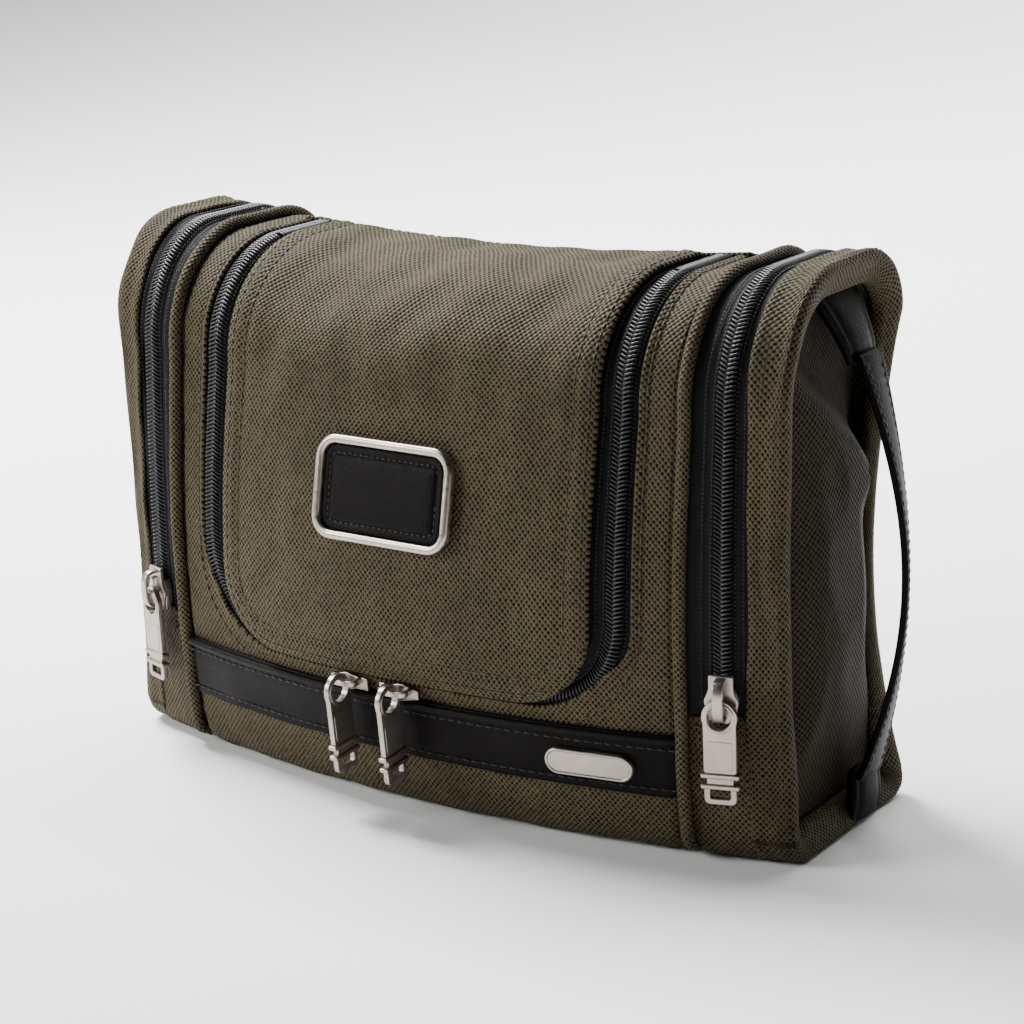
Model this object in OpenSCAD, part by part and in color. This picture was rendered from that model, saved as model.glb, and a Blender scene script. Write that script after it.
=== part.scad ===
// Hanging wash bag: a soft box of woven fabric with a lid on the front and top, closed by a
// U-shaped zip, a pocket behind an upright zip at each end, a leather band along the foot of
// the front, a leather carrying strap on the right end and a swivel hook stored inside.
// +Z is up, the front faces -Y, and the origin is the middle of the base.

/* [Bag] */
// Width between the two end faces
bag_w = 280; // [260:1:300]
// Height of the two end rims
bag_h = 190; // [180:1:200]
// Depth of the two end rims
bag_d = 76; // [70:1:84]
// Radius of the lower long edges
corner_r = 10; // [8:1:14]
// How far the middle of the top lies below the rims
top_sag = 10; // [0:1:14]
// Thickness of the padded fabric walls
wall_t = 2.4; // [2:0.2:3]

/* [Front] */
// Bulge of the front at the foot, mid-width
foot_bulge = 18; // [10:1:20]
// Bulge of the front at the fold line, mid-width
fold_bulge = 12; // [8:1:14]
// Extra bulge half way up the front
belly_bulge = 11; // [0:1:12]
// Bulge of the back, mid-width
back_bulge = 4; // [0:1:6]
// How far each end falls in along the bag, half way up its rear edge
waist_x = 6; // [0:1:7]
// How far each end's rear edge falls forwards, half way up
waist_y = 13; // [0:1:15]

/* [Lid] */
// Half width of the lid
lid_half_w = 76; // [70:1:78]
// Height of the lid's lower edge
lid_foot_z = 51; // [50:0.5:54]
// Corner radius of the lid
lid_corner_r = 26; // [20:1:30]
// Height of the fold between the lid's front and top
fold_z = 146; // [140:1:148]
// Place across the depth of the lid's rear hinge line
hinge_y = 18; // [14:1:20]

/* [Zips] */
// Half distance between the lid zip's two upright runs
lid_zip_x = 84; // [83:0.5:86]
// Height of the lid zip's lower run
lid_zip_z = 47.5; // [47:0.5:48]
// Half distance between the two end pocket zips
end_zip_x = 118; // [116:0.5:120]
// Height of the end pocket sliders when closed
end_slider_z = 58; // [57:1:64]
// Width of a zip's coil
coil_w = 6.8; // [6:0.2:7.2]

/* [Trim] */
// Lower edge of the leather band
band_foot_z = 22; // [20:1:26]
// Upper edge of the leather band
band_top_z = 43; // [40:1:43]
// Outer width of the metal patch frame
patch_w = 56; // [50:1:60]
// Outer height of the metal patch frame
patch_h = 35; // [30:1:38]
// Height of the patch's middle
patch_z = 112; // [108:1:116]
// How far the carrying strap stands out at its middle
strap_bow = 13.5; // [11:0.5:16]

/* [Hidden] */

$fn = 32;
half_w = bag_w / 2;
half_d = bag_d / 2;
top_front_y = -6;          // where the front-top arc meets the flat top
back_z = bag_h - 24;       // where the back-top arc meets the back
rim_in_x = 127;            // inner edge of each end rim
piping_x = 105;            // line of the welt beside each end pocket
tape_reach = 8;            // width of each half of a zip's tape from its middle line
opening_x = lid_zip_x + tape_reach;
pocket_z = 50;             // top of the fabric below each end pocket's zip
zip_corner_r = lid_corner_r + 4;
gap = 0.3;                 // clearance between pieces that move apart
lid_in = 1.2;              // underside of the lid above the bag's surface
lid_out = 3.2;             // outside of the lid above the bag's surface
tape_in = -1.6;            // underside of the zip tapes
tape_out = -0.8;           // outside of the zip tapes
coil_in = -0.6;            // underside of the coils
coil_out = 1.0;            // top of the coils
lining_in = -5.1;          // inside of the lining
lining_out = -4.1;         // outside of the lining
turn = 8;                  // stations once around the bag's section
partition_t = 1.2;         // thickness of the cloth walls beside the main compartment
partition_x = piping_x - 2.4;

// ---- the bag's curved skin -------------------------------------------------------------
// A point on the skin is found from x, a station t along the section and a distance o
// outwards. Stations 0..1 climb the front, 1..2 turn over its top edge, 2..3 cross the top,
// 3..4 turn down, 4..5 descend the back, 5..6 turn under, 6..7 cross the base, 7..8 turn up.
steps = [9, 7, 2, 4, 4, 3, 1, 3];
function middle(x) = 1 - pow(x / half_w, 2);
function swell(z) = let (s = min(max(z / fold_z, 0), 1))
    foot_bulge + (fold_bulge - foot_bulge) * s + belly_bulge * sin(180 * s);
function front_y(x, z) = -half_d - middle(x) * swell(z);
function back_y(x) = half_d + middle(x) * back_bulge;
function top_z(x) = bag_h - middle(x) * top_sag;
function front_t(z) = (z - corner_r) / (fold_z - corner_r);

function section(x, t0) =
    let (t = t0 - turn * floor(t0 / turn), k = floor(t), a = 90 * (t - k), u = t - k,
         yf = front_y(x, fold_z), y0 = front_y(x, corner_r), yb = back_y(x), zt = top_z(x))
    k == 0 ? let (z = corner_r + (fold_z - corner_r) * u) [front_y(x, z), z] :
    k == 1 ? [top_front_y - (top_front_y - yf) * cos(a), fold_z + (zt - fold_z) * sin(a)] :
    k == 2 ? [top_front_y + (hinge_y - top_front_y) * u, zt] :
    k == 3 ? [hinge_y + (yb - hinge_y) * sin(a), back_z + (zt - back_z) * cos(a)] :
    k == 4 ? [yb, back_z + (corner_r - back_z) * u] :
    k == 5 ? [yb - corner_r * (1 - cos(a)), corner_r * (1 - sin(a))] :
    k == 6 ? [yb - corner_r + (y0 - yb + 2 * corner_r) * u, 0] :
             [y0 + corner_r * (1 - sin(a)), corner_r * (1 - cos(a))];
function heading(x, t) = let (d = section(x, t + 0.01) - section(x, t - 0.01)) d / norm(d);
// The ends of the bag are slack: half way up they fall in, most of all at the rear.
function unit(v) = min(max(v, 0), 1);
function slack(z) = sin(180 * unit((z - 4) / 164));
function rearward(y) = unit((y + half_d) / bag_d);
function fall_x(y, z) = waist_x * slack(z) * (1 + rearward(y)) / 2;
function skin(x, t, o) =
    let (p = section(x, t), d = heading(x, t), y = p[0] - d[1] * o, z = p[1] + d[0] * o,
         end = unit((abs(x) - rim_in_x) / (half_w - rim_in_x)))
    [x - sign(x) * end * fall_x(y, z),
     y - waist_y * slack(z) * pow(x / half_w, 8) * pow(rearward(y), 2), z];
function front(x, z, o) = skin(x, front_t(z), o);

function stations(t0, t1) = concat([t0], [for (k = [floor(t0):ceil(t1) - 1])
    let (a = max(t0, k), b = min(t1, k + 1), n = max(1, ceil((b - a) * steps[k % turn])))
    for (j = [1:n]) a + (b - a) * j / n]);
function columns(x0, x1) = let (n = max(1, ceil((x1 - x0) / 16)))
    [for (i = [0:n]) x0 + (x1 - x0) * i / n];

// ---- solids lofted through rings of points ----------------------------------------------
function cap(m, at, flip) = [for (i = [0:m / 2 - 2])
    let (a = at + i, b = a + 1, c = at + m - 1 - i, d = c - 1)
    each (flip ? [[a, c, b], [b, c, d]] : [[a, b, c], [b, d, c]])];
module loft(rings, closed = false) {
    m = len(rings[0]);
    n = len(rings);
    sides = [for (i = [0:(closed ? n - 1 : n - 2)]) for (j = [0:m - 1])
        let (a = i * m + j, b = i * m + (j + 1) % m, k = (i + 1) % n * m)
        each [[a, b, k + (j + 1) % m], [a, k + (j + 1) % m, k + j]]];
    ends = closed ? [] : concat(cap(m, 0, true), cap(m, (n - 1) * m, false));
    polyhedron([for (r = rings) each r], concat(sides, ends));
}
// A layer of the skin between x0 and x1, stations t0 and t1, and offsets o0 and o1.
module layer(x0, x1, t0, t1, o0, o1) {
    xs = columns(x0, x1);
    last = len(xs) - 1;
    loft([for (t = stations(t0, t1)) concat(
        [for (i = [0:last]) skin(xs[i], t, o1)],
        [for (i = [last:-1:0]) skin(xs[i], t, o0)])]);
}
// A closed band around the whole section, whose cut is a list of [x, offset] corners.
module hoop(cut) {
    ts = stations(0, turn);
    loft([for (i = [0:len(ts) - 2]) [for (c = cut) skin(c[0], ts[i], c[1])]], closed = true);
}
// A round bead that follows the section at one x.
module bead(x, t0, t1, o, r) {
    loft([for (t = stations(t0, t1)) [for (a = [0:45:315]) skin(x - r * cos(a), t, o + r * sin(a))]]);
}
// The section's outline moved in by a distance, as a plate across the bag.
module plate(x0, x1, inset) {
    mid = (x0 + x1) / 2;
    translate([x0, 0, 0]) rotate([90, 0, 90]) linear_extrude(x1 - x0)
        polygon([for (t = [for (s = stations(0, turn)) if (s < turn) s])
            let (p = skin(mid, t, -inset)) [p[1], p[2]]]);
}
// The front view of the lid or its zip: square at the top, round at the lower corners.
module lid_outline(half, foot, r) {
    translate([-half, foot + r]) square([2 * half, fold_z - foot - r]);
    translate([r - half, foot]) square([2 * (half - r), r + 1]);
    for (side = [-1, 1]) translate([side * (half - r), foot + r]) circle(r, $fn = 48);
}
module from_front() { rotate([90, 0, 0]) translate([0, 0, -bag_d]) linear_extrude(3 * bag_d) children(); }
// Places its children on the front, with -Y pointing out of the skin.
function slope_x(x, z) = 2 * x / pow(half_w, 2) * swell(z);
function slope_z(x, z) = (front_y(x, z + 1) - front_y(x, z - 1)) / 2;
module on_front(x, z, o) {
    translate([x, front_y(x, z), z])
        rotate([-atan(slope_z(x, z)), 0, atan(slope_x(x, z))]) translate([0, -o, 0]) children();
}

fabric = [0.37, 0.33, 0.26];
black = [0.10, 0.09, 0.09];
leather = [0.15, 0.13, 0.13];
nickel = [0.72, 0.67, 0.62];

// ---- the bag's fabric walls --------------------------------------------------------------
module bottom_panel() { color(fabric) layer(-rim_in_x, rim_in_x, 5, turn, -wall_t, 0); }
// A stiff board in the main compartment, between the two partitions.
module base_board() {
    board_x = partition_x - 2 * gap;
    board_y = half_d - wall_t - corner_r;
    board_t = 1.4;
    color("dimgray") translate([-board_x, -board_y, wall_t + 0.1]) cube([2 * board_x, 2 * board_y, board_t]);
}
module back_panel() { color(fabric) layer(-rim_in_x, rim_in_x, 4, 5, -wall_t, 0); }
module rear_top_panel() { color(fabric) layer(-opening_x, opening_x, 3.02, 4, -wall_t, 0); }
// The front's fabric is one U-shaped piece around the lid opening, from welt to welt. Each point
// of its inner edge is joined to the point of its outer edge that lies straight out from it.
module front_panel() {
    near = u_run(tape_reach + 0.05, 4);
    cx = lid_zip_x - zip_corner_r;
    cz = lid_zip_z + zip_corner_r;
    wide = piping_x - cx;
    tall = cz - corner_r;
    function edge(p) = let (dx = abs(p[0]) - cx, z = corner_r + p[1] * (fold_z - corner_r), dz = cz - z)
        dz <= 0 ? [sign(p[0]) * piping_x, p[1]] :
        dx <= 0.01 ? [p[0], 0] :
        let (k = min(wide / dx, tall / dz)) [sign(p[0]) * (cx + dx * k), front_t(cz - dz * k)];
    color(fabric) loft([for (p = near) let (q = edge(p), m = (p + q) / 2) [skin(q[0], q[1], 0),
        skin(m[0], m[1], 0), skin(p[0], p[1], 0), skin(p[0], p[1], -wall_t),
        skin(m[0], m[1], -wall_t), skin(q[0], q[1], -wall_t)]]);
}
// The end rim is folded over at its outer edge, so its cut is an L.
module rim(side) {
    fold_x = half_w - wall_t;
    fold_o = -8;
    cut = [[rim_in_x, 0], [half_w, 0], [half_w, fold_o], [fold_x, fold_o], [fold_x, -wall_t],
        [rim_in_x, -wall_t]];
    color(fabric) hoop(side > 0 ? cut : [for (i = [5:-1:0]) [-cut[i][0], cut[i][1]]]);
}
module pocket_front(side) {
    a = side * (rim_in_x + piping_x) / 2;
    half = (rim_in_x - piping_x) / 2;
    color(fabric) layer(a - half, a + half, 0, front_t(pocket_z), -wall_t, 0);
}
// A pillowed end wall: rings of the section's outline that shrink to a middle point, outside
// and inside, with a fan of triangles closing each middle.
module side_panel(side) {
    centre = [-2, 92];
    seam_x = half_w - 8.5;
    panel_t = 2;
    pillow = 6;
    shrink = [1, 0.85, 0.65, 0.4, 0.15];
    inner = len(shrink) - 1;
    outline = [for (t = [for (s = stations(0, turn)) if (s < turn) s])
        let (p = skin(half_w - 6, t, -wall_t - 0.8)) [p[1], p[2]]];
    m = len(outline);
    function ring(k, lift) = [for (p = outline) let (q = centre + (p - centre) * k)
        [seam_x + lift + pillow * pow(1 - k * k, 2) - pow(k, 4) * fall_x(q[0], q[1]), q[0], q[1]]];
    function mean(r) = let (ones = [for (p = r) 1]) ones * r / len(r);
    rings = concat([for (k = shrink) ring(k, panel_t)], [for (i = [inner:-1:0]) ring(shrink[i], 0)]);
    n = len(rings);
    fans = [for (j = [0:m - 1]) let (k = (j + 1) % m)
        each [[inner * m + j, inner * m + k, n * m], [(inner + 1) * m + k, (inner + 1) * m + j, n * m + 1]]];
    sides = [for (i = [0:n - 1]) if (i != inner) for (j = [0:m - 1])
        let (a = i * m + j, b = i * m + (j + 1) % m, k = (i + 1) % n * m)
        each [[a, b, k + (j + 1) % m], [a, k + (j + 1) % m, k + j]]];
    color(fabric) mirror([side > 0 ? 0 : 1, 0, 0]) polyhedron(
        concat([for (r = rings) each r], [mean(rings[inner]), mean(rings[inner + 1])]), concat(sides, fans));
}
module partition(side) {
    x = side > 0 ? partition_x : -partition_x - partition_t;
    color(black) plate(x, x + partition_t, wall_t + 0.5);
}

// ---- lining and fittings inside ----------------------------------------------------------
lining_x = partition_x - 2 * gap;
lining_top_z = 34;         // how high the lining comes up inside the front
module main_lining() {
    color(black) layer(-lining_x, lining_x, 3.3, turn + front_t(lining_top_z), lining_in, lining_out);
}
module mesh_pocket() {
    half = 88;
    function back_t(z) = 4 + (back_z - z) / (back_z - corner_r);
    color(black) layer(-half, half, back_t(92), back_t(18), lining_in - 1.4, lining_in - 0.3);
}
// Flat tubes of elastic on the lining of the back, open at both ends.
module elastic_loops() {
    w = 22;
    deep = 11.5;
    band_t = 1.2;
    color(black) for (x = [-72, -44, 44, 72]) translate([x, back_y(x) + lining_in - deep - 2 * gap, 100])
        linear_extrude(22) difference() {
            translate([-w / 2, 0]) square([w, deep - gap]);
            translate([band_t - w / 2, band_t]) square([w - 2 * band_t, deep - gap - 2 * band_t]);
        }
}

// ---- trim on the front --------------------------------------------------------------------
module piping(side) { color(fabric) bead(side * piping_x, 0, 4, 1.35, 1.2); }
band_x = piping_x - 1.4;
module leather_band() {
    color(leather) layer(-band_x, band_x, front_t(band_foot_z), front_t(band_top_z), 0.1, 1.6);
}
module band_edge_roll() {
    r = 1;
    color(leather) loft([for (x = columns(-band_x, band_x))
        [for (a = [0:45:315]) front(x, band_top_z - r - 0.1 + r * cos(a), 1.75 + r + r * sin(a))]]);
}
module oval_badge() {
    w = 31;
    h = 9.5;
    badge_x = 74;
    badge_z = 31;
    color(nickel) on_front(badge_x, badge_z, 1.9) rotate([90, 0, 0]) linear_extrude(2) {
        square([w - h, h], center = true);
        for (side = [-1, 1]) translate([side * (w - h) / 2, 0]) circle(h / 2);
    }
}
module patch_plate(inset) {
    r = 8 - inset;
    w = patch_w - 2 * inset;
    h = patch_h - 2 * inset;
    square([w - 2 * r, h], center = true);
    square([w, h - 2 * r], center = true);
    for (x = [-1, 1], y = [-1, 1]) translate([x * (w / 2 - r), y * (h / 2 - r)]) circle(r);
}
frame_bar = 3;
module patch_frame() {
    color(nickel) on_front(0, patch_z, lid_out + 0.1) rotate([90, 0, 0]) linear_extrude(3)
        difference() {
            patch_plate(0);
            patch_plate(frame_bar);
        }
}
module patch_leather() {
    color(leather) on_front(0, patch_z, lid_out + 0.1) rotate([90, 0, 0]) linear_extrude(1.8)
        patch_plate(frame_bar + 0.05);
}

// ---- zips ---------------------------------------------------------------------------------
module end_zip_tape(side) {
    a = side * (piping_x + rim_in_x) / 2;
    half = (rim_in_x - piping_x) / 2;
    color(black) layer(a - half, a + half, front_t(pocket_z), 4, tape_in, tape_out);
}
module end_zip_coil(side) {
    a = side * end_zip_x;
    color(black) layer(a - coil_w / 2, a + coil_w / 2, front_t(pocket_z + 2), 3.9, coil_in, coil_out);
}
// A fold of fabric over the foot of each end zip.
module zip_end_tab(side) {
    a = side * end_zip_x;
    half = 6;
    color(fabric) layer(a - half, a + half, front_t(pocket_z - 7), front_t(pocket_z + 1.5), 0.1, 0.9);
}
// The lid zip runs in a U: u_run lists [x, station] points along it, at a distance d outside
// the coil's middle line, down the right leg, across the foot and up the left leg.
function leg(side, d, t0, t1) = [for (t = stations(t0, t1)) [side * (lid_zip_x + d), t]];
function reversed(list) = [for (i = [len(list) - 1:-1:0]) list[i]];
function u_run(d, t_end) =
    let (r = zip_corner_r + d, cx = lid_zip_x - zip_corner_r, cz = lid_zip_z + zip_corner_r,
         turns = [for (a = [82:-8:10]) [cx + r * sin(a), front_t(cz - r * cos(a))]],
         foot = [for (i = [0:10]) [cx - 2 * cx * i / 10, front_t(lid_zip_z - d)]])
    concat(reversed(leg(1, d, front_t(cz), t_end)), turns, foot,
        [for (p = reversed(turns)) [-p[0], p[1]]], leg(-1, d, front_t(cz), t_end));
module u_strip(d0, d1, o0, o1, t_end) {
    near = u_run(d0, t_end);
    far = u_run(d1, t_end);
    loft([for (i = [0:len(near) - 1]) [skin(far[i][0], far[i][1], o1), skin(near[i][0], near[i][1], o1),
        skin(near[i][0], near[i][1], o0), skin(far[i][0], far[i][1], o0)]]);
}
module lid_half_top(x0, o0, o1) {
    for (side = [-1, 1]) {
        a = side * (x0 + lid_zip_x - gap / 2) / 2;
        half = (lid_zip_x - gap / 2 - x0) / 2;
        layer(a - half, a + half, 1 + hinge_gap_t, 3 - hinge_gap_t, o0, o1);
    }
}
hinge_gap_t = 0.004;       // half the gap at each lid hinge, in stations
tape_start = lid_zip_x - tape_reach - 2;
coil_start = lid_zip_x - coil_w / 2;
module outer_half(reach, o0, o1) { color(black) u_strip(gap / 2, reach, o0, o1, 3); }
module lid_half(reach, o0, o1) { color(black) u_strip(-reach, -gap / 2, o0, o1, 1 - hinge_gap_t); }
module lid_top_zip_tape() { color(black) lid_half_top(tape_start, tape_in, tape_out); }
module lid_top_zip_coil() { color(black) lid_half_top(coil_start, coil_in, coil_out); }

// ---- lid ----------------------------------------------------------------------------------
module lid_front_layer(half, foot, r, o0, o1) {
    intersection() {
        layer(-half, half, front_t(foot) - 0.01, 1 - hinge_gap_t, o0, o1);
        from_front() lid_outline(half, foot, r);
    }
}
module lid_front_panel() {
    color(fabric) lid_front_layer(lid_half_w, lid_foot_z, lid_corner_r, lid_in, lid_out);
}
module lid_front_lining() {
    half = tape_start - 0.2;
    color(black) lid_front_layer(half, lid_foot_z + 8, lid_corner_r - 6, tape_in, lid_in - 0.2);
}
module lid_top_panel() {
    color(fabric) layer(-lid_half_w, lid_half_w, 1 + hinge_gap_t, 3 - hinge_gap_t, lid_in, lid_out);
}
module lid_top_lining() {
    half = tape_start - 0.2;
    color(black) layer(-half, half, 1 + hinge_gap_t, 3 - hinge_gap_t, tape_in, lid_in - 0.2);
}

// ---- sliders and pulls ----------------------------------------------------------------------
slider_l = 16;
plate_in = 2.2;            // underside of a slider's plate above the skin
plate_t = 1.6;
eye_r = 5.75;              // outside of the round eye at the top of a pull
eye_hole_r = 4;
pull_t = 2;
pivot_o = 5.7;             // height of an end pocket pull's pivot above the skin
crown_o = 7.8;             // height of a lid slider's crown bar above the skin
module slider_plate(w) {
    l = slider_l / 2;
    rotate([90, 0, 0]) translate([0, 0, plate_in]) linear_extrude(plate_t)
        polygon([[-0.36 * w, l], [0.36 * w, l], [0.38 * w, l - 4], [0.5 * w, l - 8],
            [0.5 * w, l - 10], [0.3 * w, -l], [-0.3 * w, -l], [-0.5 * w, l - 10],
            [-0.5 * w, l - 8], [-0.38 * w, l - 4]]);
}
// An end pocket slider: the crown is a flat strap along the zip, with the pull's eye under it.
module end_slider() {
    slider_plate(11);
    crown_w = 3.4;
    top = pivot_o + 3.1;
    low = plate_in + 1;
    foot = 6.5;            // half the crown's length along the zip
    hole = 4.9;            // half the length of the hole under the crown
    translate([-crown_w / 2, 0, 0]) rotate([90, 0, 90]) linear_extrude(crown_w) difference() {
        polygon([[-low, -foot], [1 - top, -foot], [-top, 1 - foot], [-top, foot - 2], [1.5 - top, foot],
            [-low, foot]]);
        polygon([[2 - low, -hole], [1.3 - top, -hole], [1.3 - top, hole], [2 - low, hole]]);
    }
}
// A lid slider: the crown is a round bar across the slider's length, which the eye hangs on.
module lid_slider() {
    bar_r = 1.1;
    bar_l = 10;
    rotate([0, 90, 0]) slider_plate(6.2);
    rotate([0, 90, 0]) translate([0, -crown_o, -bar_l / 2]) cylinder(r = bar_r, h = bar_l);
    for (side = [-1, 1]) translate([side * (bar_l / 2 - 0.1), 0, 0]) rotate([90, 0, 0])
        translate([0, 0, plate_in + 1]) cylinder(r = bar_r, h = crown_o - plate_in - 0.2);
}
// A pull that hangs down from the origin, which is the middle of its eye's upper rim: an eye,
// a flat body, a neck between two raised bands, and an end loop with a window.
module pull() {
    drop = (eye_r + eye_hole_r) / 2;
    body_w = 10.6;
    neck_w = 9.2;
    band_w = 12.4;
    band_h = 1.7;
    band_out = 0.7;
    band_z = -23.5;
    end_z = -34;
    end_w = 10.4;
    end_r = 1.6;
    window = [6.6, 3.2];
    translate([0, pull_t / 2, 0]) rotate([90, 0, 0]) {
        linear_extrude(pull_t) difference() {
            union() {
                translate([0, -drop]) circle(eye_r);
                translate([-body_w / 2, band_z]) square([body_w, -band_z - drop]);
                translate([-neck_w / 2, band_z - 5]) square([neck_w, 6]);
                translate([-end_w / 2, end_z + end_r]) square([end_w, band_z - end_z - 5]);
                translate([end_r - end_w / 2, end_z]) square([end_w - 2 * end_r, 4]);
                for (side = [-1, 1]) translate([side * (end_w / 2 - end_r), end_z + end_r]) circle(end_r);
            }
            translate([0, -drop]) circle(eye_hole_r);
            translate([-window[0] / 2, end_z + 1.8]) square(window);
        }
        for (z = [band_z - band_h, band_z - 5.2]) translate([-band_w / 2, z, -band_out])
            cube([band_w, band_h, pull_t + 2 * band_out]);
    }
}
lid_slider_x = [-16, 5];
module lid_slider_at(x) { color(nickel) on_front(x, lid_zip_z, 0) lid_slider(); }
module lid_pull_at(x) {
    lean = 1.9;            // the eye's middle lies this far out from and below the crown bar
    drop = (eye_r + eye_hole_r) / 2;
    color(nickel) on_front(x, lid_zip_z, crown_o + lean) translate([0, 0, drop - lean])
        rotate([0, 0, 90]) pull();
}
module end_slider_at(side) { color(nickel) on_front(side * end_zip_x, end_slider_z, 0) end_slider(); }
module end_pull_at(side) { color(nickel) on_front(side * end_zip_x, end_slider_z, pivot_o) pull(); }

// ---- carrying strap ---------------------------------------------------------------------------
strap_x = half_w - 0.5;    // the strap's ends, beside the end wall
strap_y = 10;
strap_foot_z = 17;
strap_top_z = 159;
strap_t = 3;
strap_end_w = 15;
strap_twist = 25;          // how far the strap's middle turns about its length
module carry_strap() {
    n = 22;
    color(leather) loft([for (i = [0:n])
        let (s = i / n, rise = sin(180 * s), twist = strap_twist * rise, half = strap_end_w / 2 - rise,
             x = strap_x + strap_bow * pow(rise, 0.9), z = strap_foot_z + (strap_top_z - strap_foot_z) * s,
             across = [-sin(twist), cos(twist)], out = [cos(twist), sin(twist)])
        [for (c = [[-1, -1], [1, -1], [1, 1], [-1, 1]])
            [x + across[0] * half * c[0] + out[0] * strap_t / 2 * c[1],
             strap_y + across[1] * half * c[0] + out[1] * strap_t / 2 * c[1], z]]]);
}
// A leather block stitched to the end wall, wider than the strap and bevelled outside.
module strap_anchor(z0, z1) {
    half = 10;
    deep = 5.8;
    bevel = 2.8;
    color(leather) translate([half_w - 4.8, strap_y, z0]) linear_extrude(z1 - z0)
        polygon([[0, -half], [deep - bevel, -half], [deep, bevel - half], [deep, half - bevel],
            [deep - bevel, half], [0, half]]);
}

// ---- hook ---------------------------------------------------------------------------------------
hook_y = 20;
hook_pivot_z = 158;
eye_half = 10;             // half the width of the eye that the hook swivels in
wire_r = 1.3;
boss_h = 3;
boss_z = hook_pivot_z - 13;
pin_r = 1.6;
module along_x(r, h) { rotate([0, 90, 0]) cylinder(r = r, h = h, center = true); }
// A loop of webbing that hangs from the top and holds the eye's upper bar.
module hook_tab() {
    w = 14;
    tail_t = 1.6;
    tail_h = 18.8;
    color(black) translate([0, hook_y, hook_pivot_z]) difference() {
        union() {
            along_x(wire_r + 1.5, w);
            translate([-w / 2, 1.2, 0]) cube([w, tail_t, tail_h]);
        }
        along_x(wire_r + 0.25, w + 1);
    }
}
module hook_eye() {
    boss_r = 4;
    color(nickel) translate([0, hook_y, hook_pivot_z]) {
        along_x(wire_r, 2 * eye_half);
        for (side = [-1, 1]) translate([side * (eye_half - wire_r), 0, boss_z - hook_pivot_z + 1])
            cylinder(r = wire_r, h = hook_pivot_z - boss_z - 1);
        translate([0, 0, boss_z - hook_pivot_z]) difference() {
            union() {
                translate([0, 0, boss_h / 2]) cube([2 * eye_half, 2 * wire_r, boss_h], center = true);
                cylinder(r = boss_r, h = boss_h);
            }
            translate([0, 0, -1]) cylinder(r = pin_r + 0.25, h = boss_h + 2);
        }
    }
}
// The hook turns on a headed pin through the eye's boss.
module travel_hook() {
    r = 13;
    rod = 2.2;
    shank = 14;
    color(nickel) translate([0, hook_y, boss_z]) {
        translate([0, 0, boss_h + 0.4]) cylinder(r = 3, h = 1.2);
        translate([0, 0, -1]) cylinder(r = pin_r, h = boss_h + 2);
        translate([0, 0, -shank]) cylinder(r = rod, h = shank - 0.4);
        translate([0, 0, -shank - r]) rotate([90, 0, 0])
            rotate([0, 0, -150]) rotate_extrude(angle = 242) translate([r, 0]) circle(rod);
    }
}

bottom_panel();
base_board();
back_panel();
rear_top_panel();
front_panel();
rim(-1);  // left_rim
rim(1);  // right_rim
pocket_front(-1);  // left_pocket_front
pocket_front(1);  // right_pocket_front
side_panel(-1);  // left_side_panel
side_panel(1);  // right_side_panel
partition(-1);  // left_partition
partition(1);  // right_partition
piping(-1);  // left_piping
piping(1);  // right_piping
leather_band();
band_edge_roll();
oval_badge();
end_zip_tape(-1);  // left_zip_tape
end_zip_tape(1);  // right_zip_tape
end_zip_coil(-1);  // left_zip_coil
end_zip_coil(1);  // right_zip_coil
zip_end_tab(-1);  // left_zip_end_tab
zip_end_tab(1);  // right_zip_end_tab
outer_half(tape_reach, tape_in, tape_out);  // lid_zip_outer_tape
outer_half(coil_w / 2, coil_in, coil_out);  // lid_zip_outer_coil
main_lining();
mesh_pocket();
elastic_loops();
strap_anchor(strap_top_z + 0.5, strap_top_z + 11);  // upper_strap_anchor
strap_anchor(strap_foot_z - 8.5, strap_foot_z - 0.5);  // lower_strap_anchor
hook_tab();
lid_top_panel();
lid_top_lining();
lid_top_zip_tape();
lid_top_zip_coil();
lid_front_panel();
lid_front_lining();
lid_half(tape_reach + 2, tape_in, tape_out);  // lid_front_zip_tape
lid_half(coil_w / 2, coil_in, coil_out);  // lid_front_zip_coil
patch_frame();
patch_leather();
lid_slider_at(lid_slider_x[0]);  // lid_left_slider
lid_pull_at(lid_slider_x[0]);  // lid_left_pull
lid_slider_at(lid_slider_x[1]);  // lid_right_slider
lid_pull_at(lid_slider_x[1]);  // lid_right_pull
end_slider_at(-1);  // left_slider
end_pull_at(-1);  // left_pull
end_slider_at(1);  // right_slider
end_pull_at(1);  // right_pull
carry_strap();
hook_eye();
travel_hook();
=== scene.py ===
"""Looks of the hanging wash bag: fabric, zips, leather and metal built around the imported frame."""
import math

import bpy
import numpy as np
from mathutils import Matrix, Vector


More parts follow.
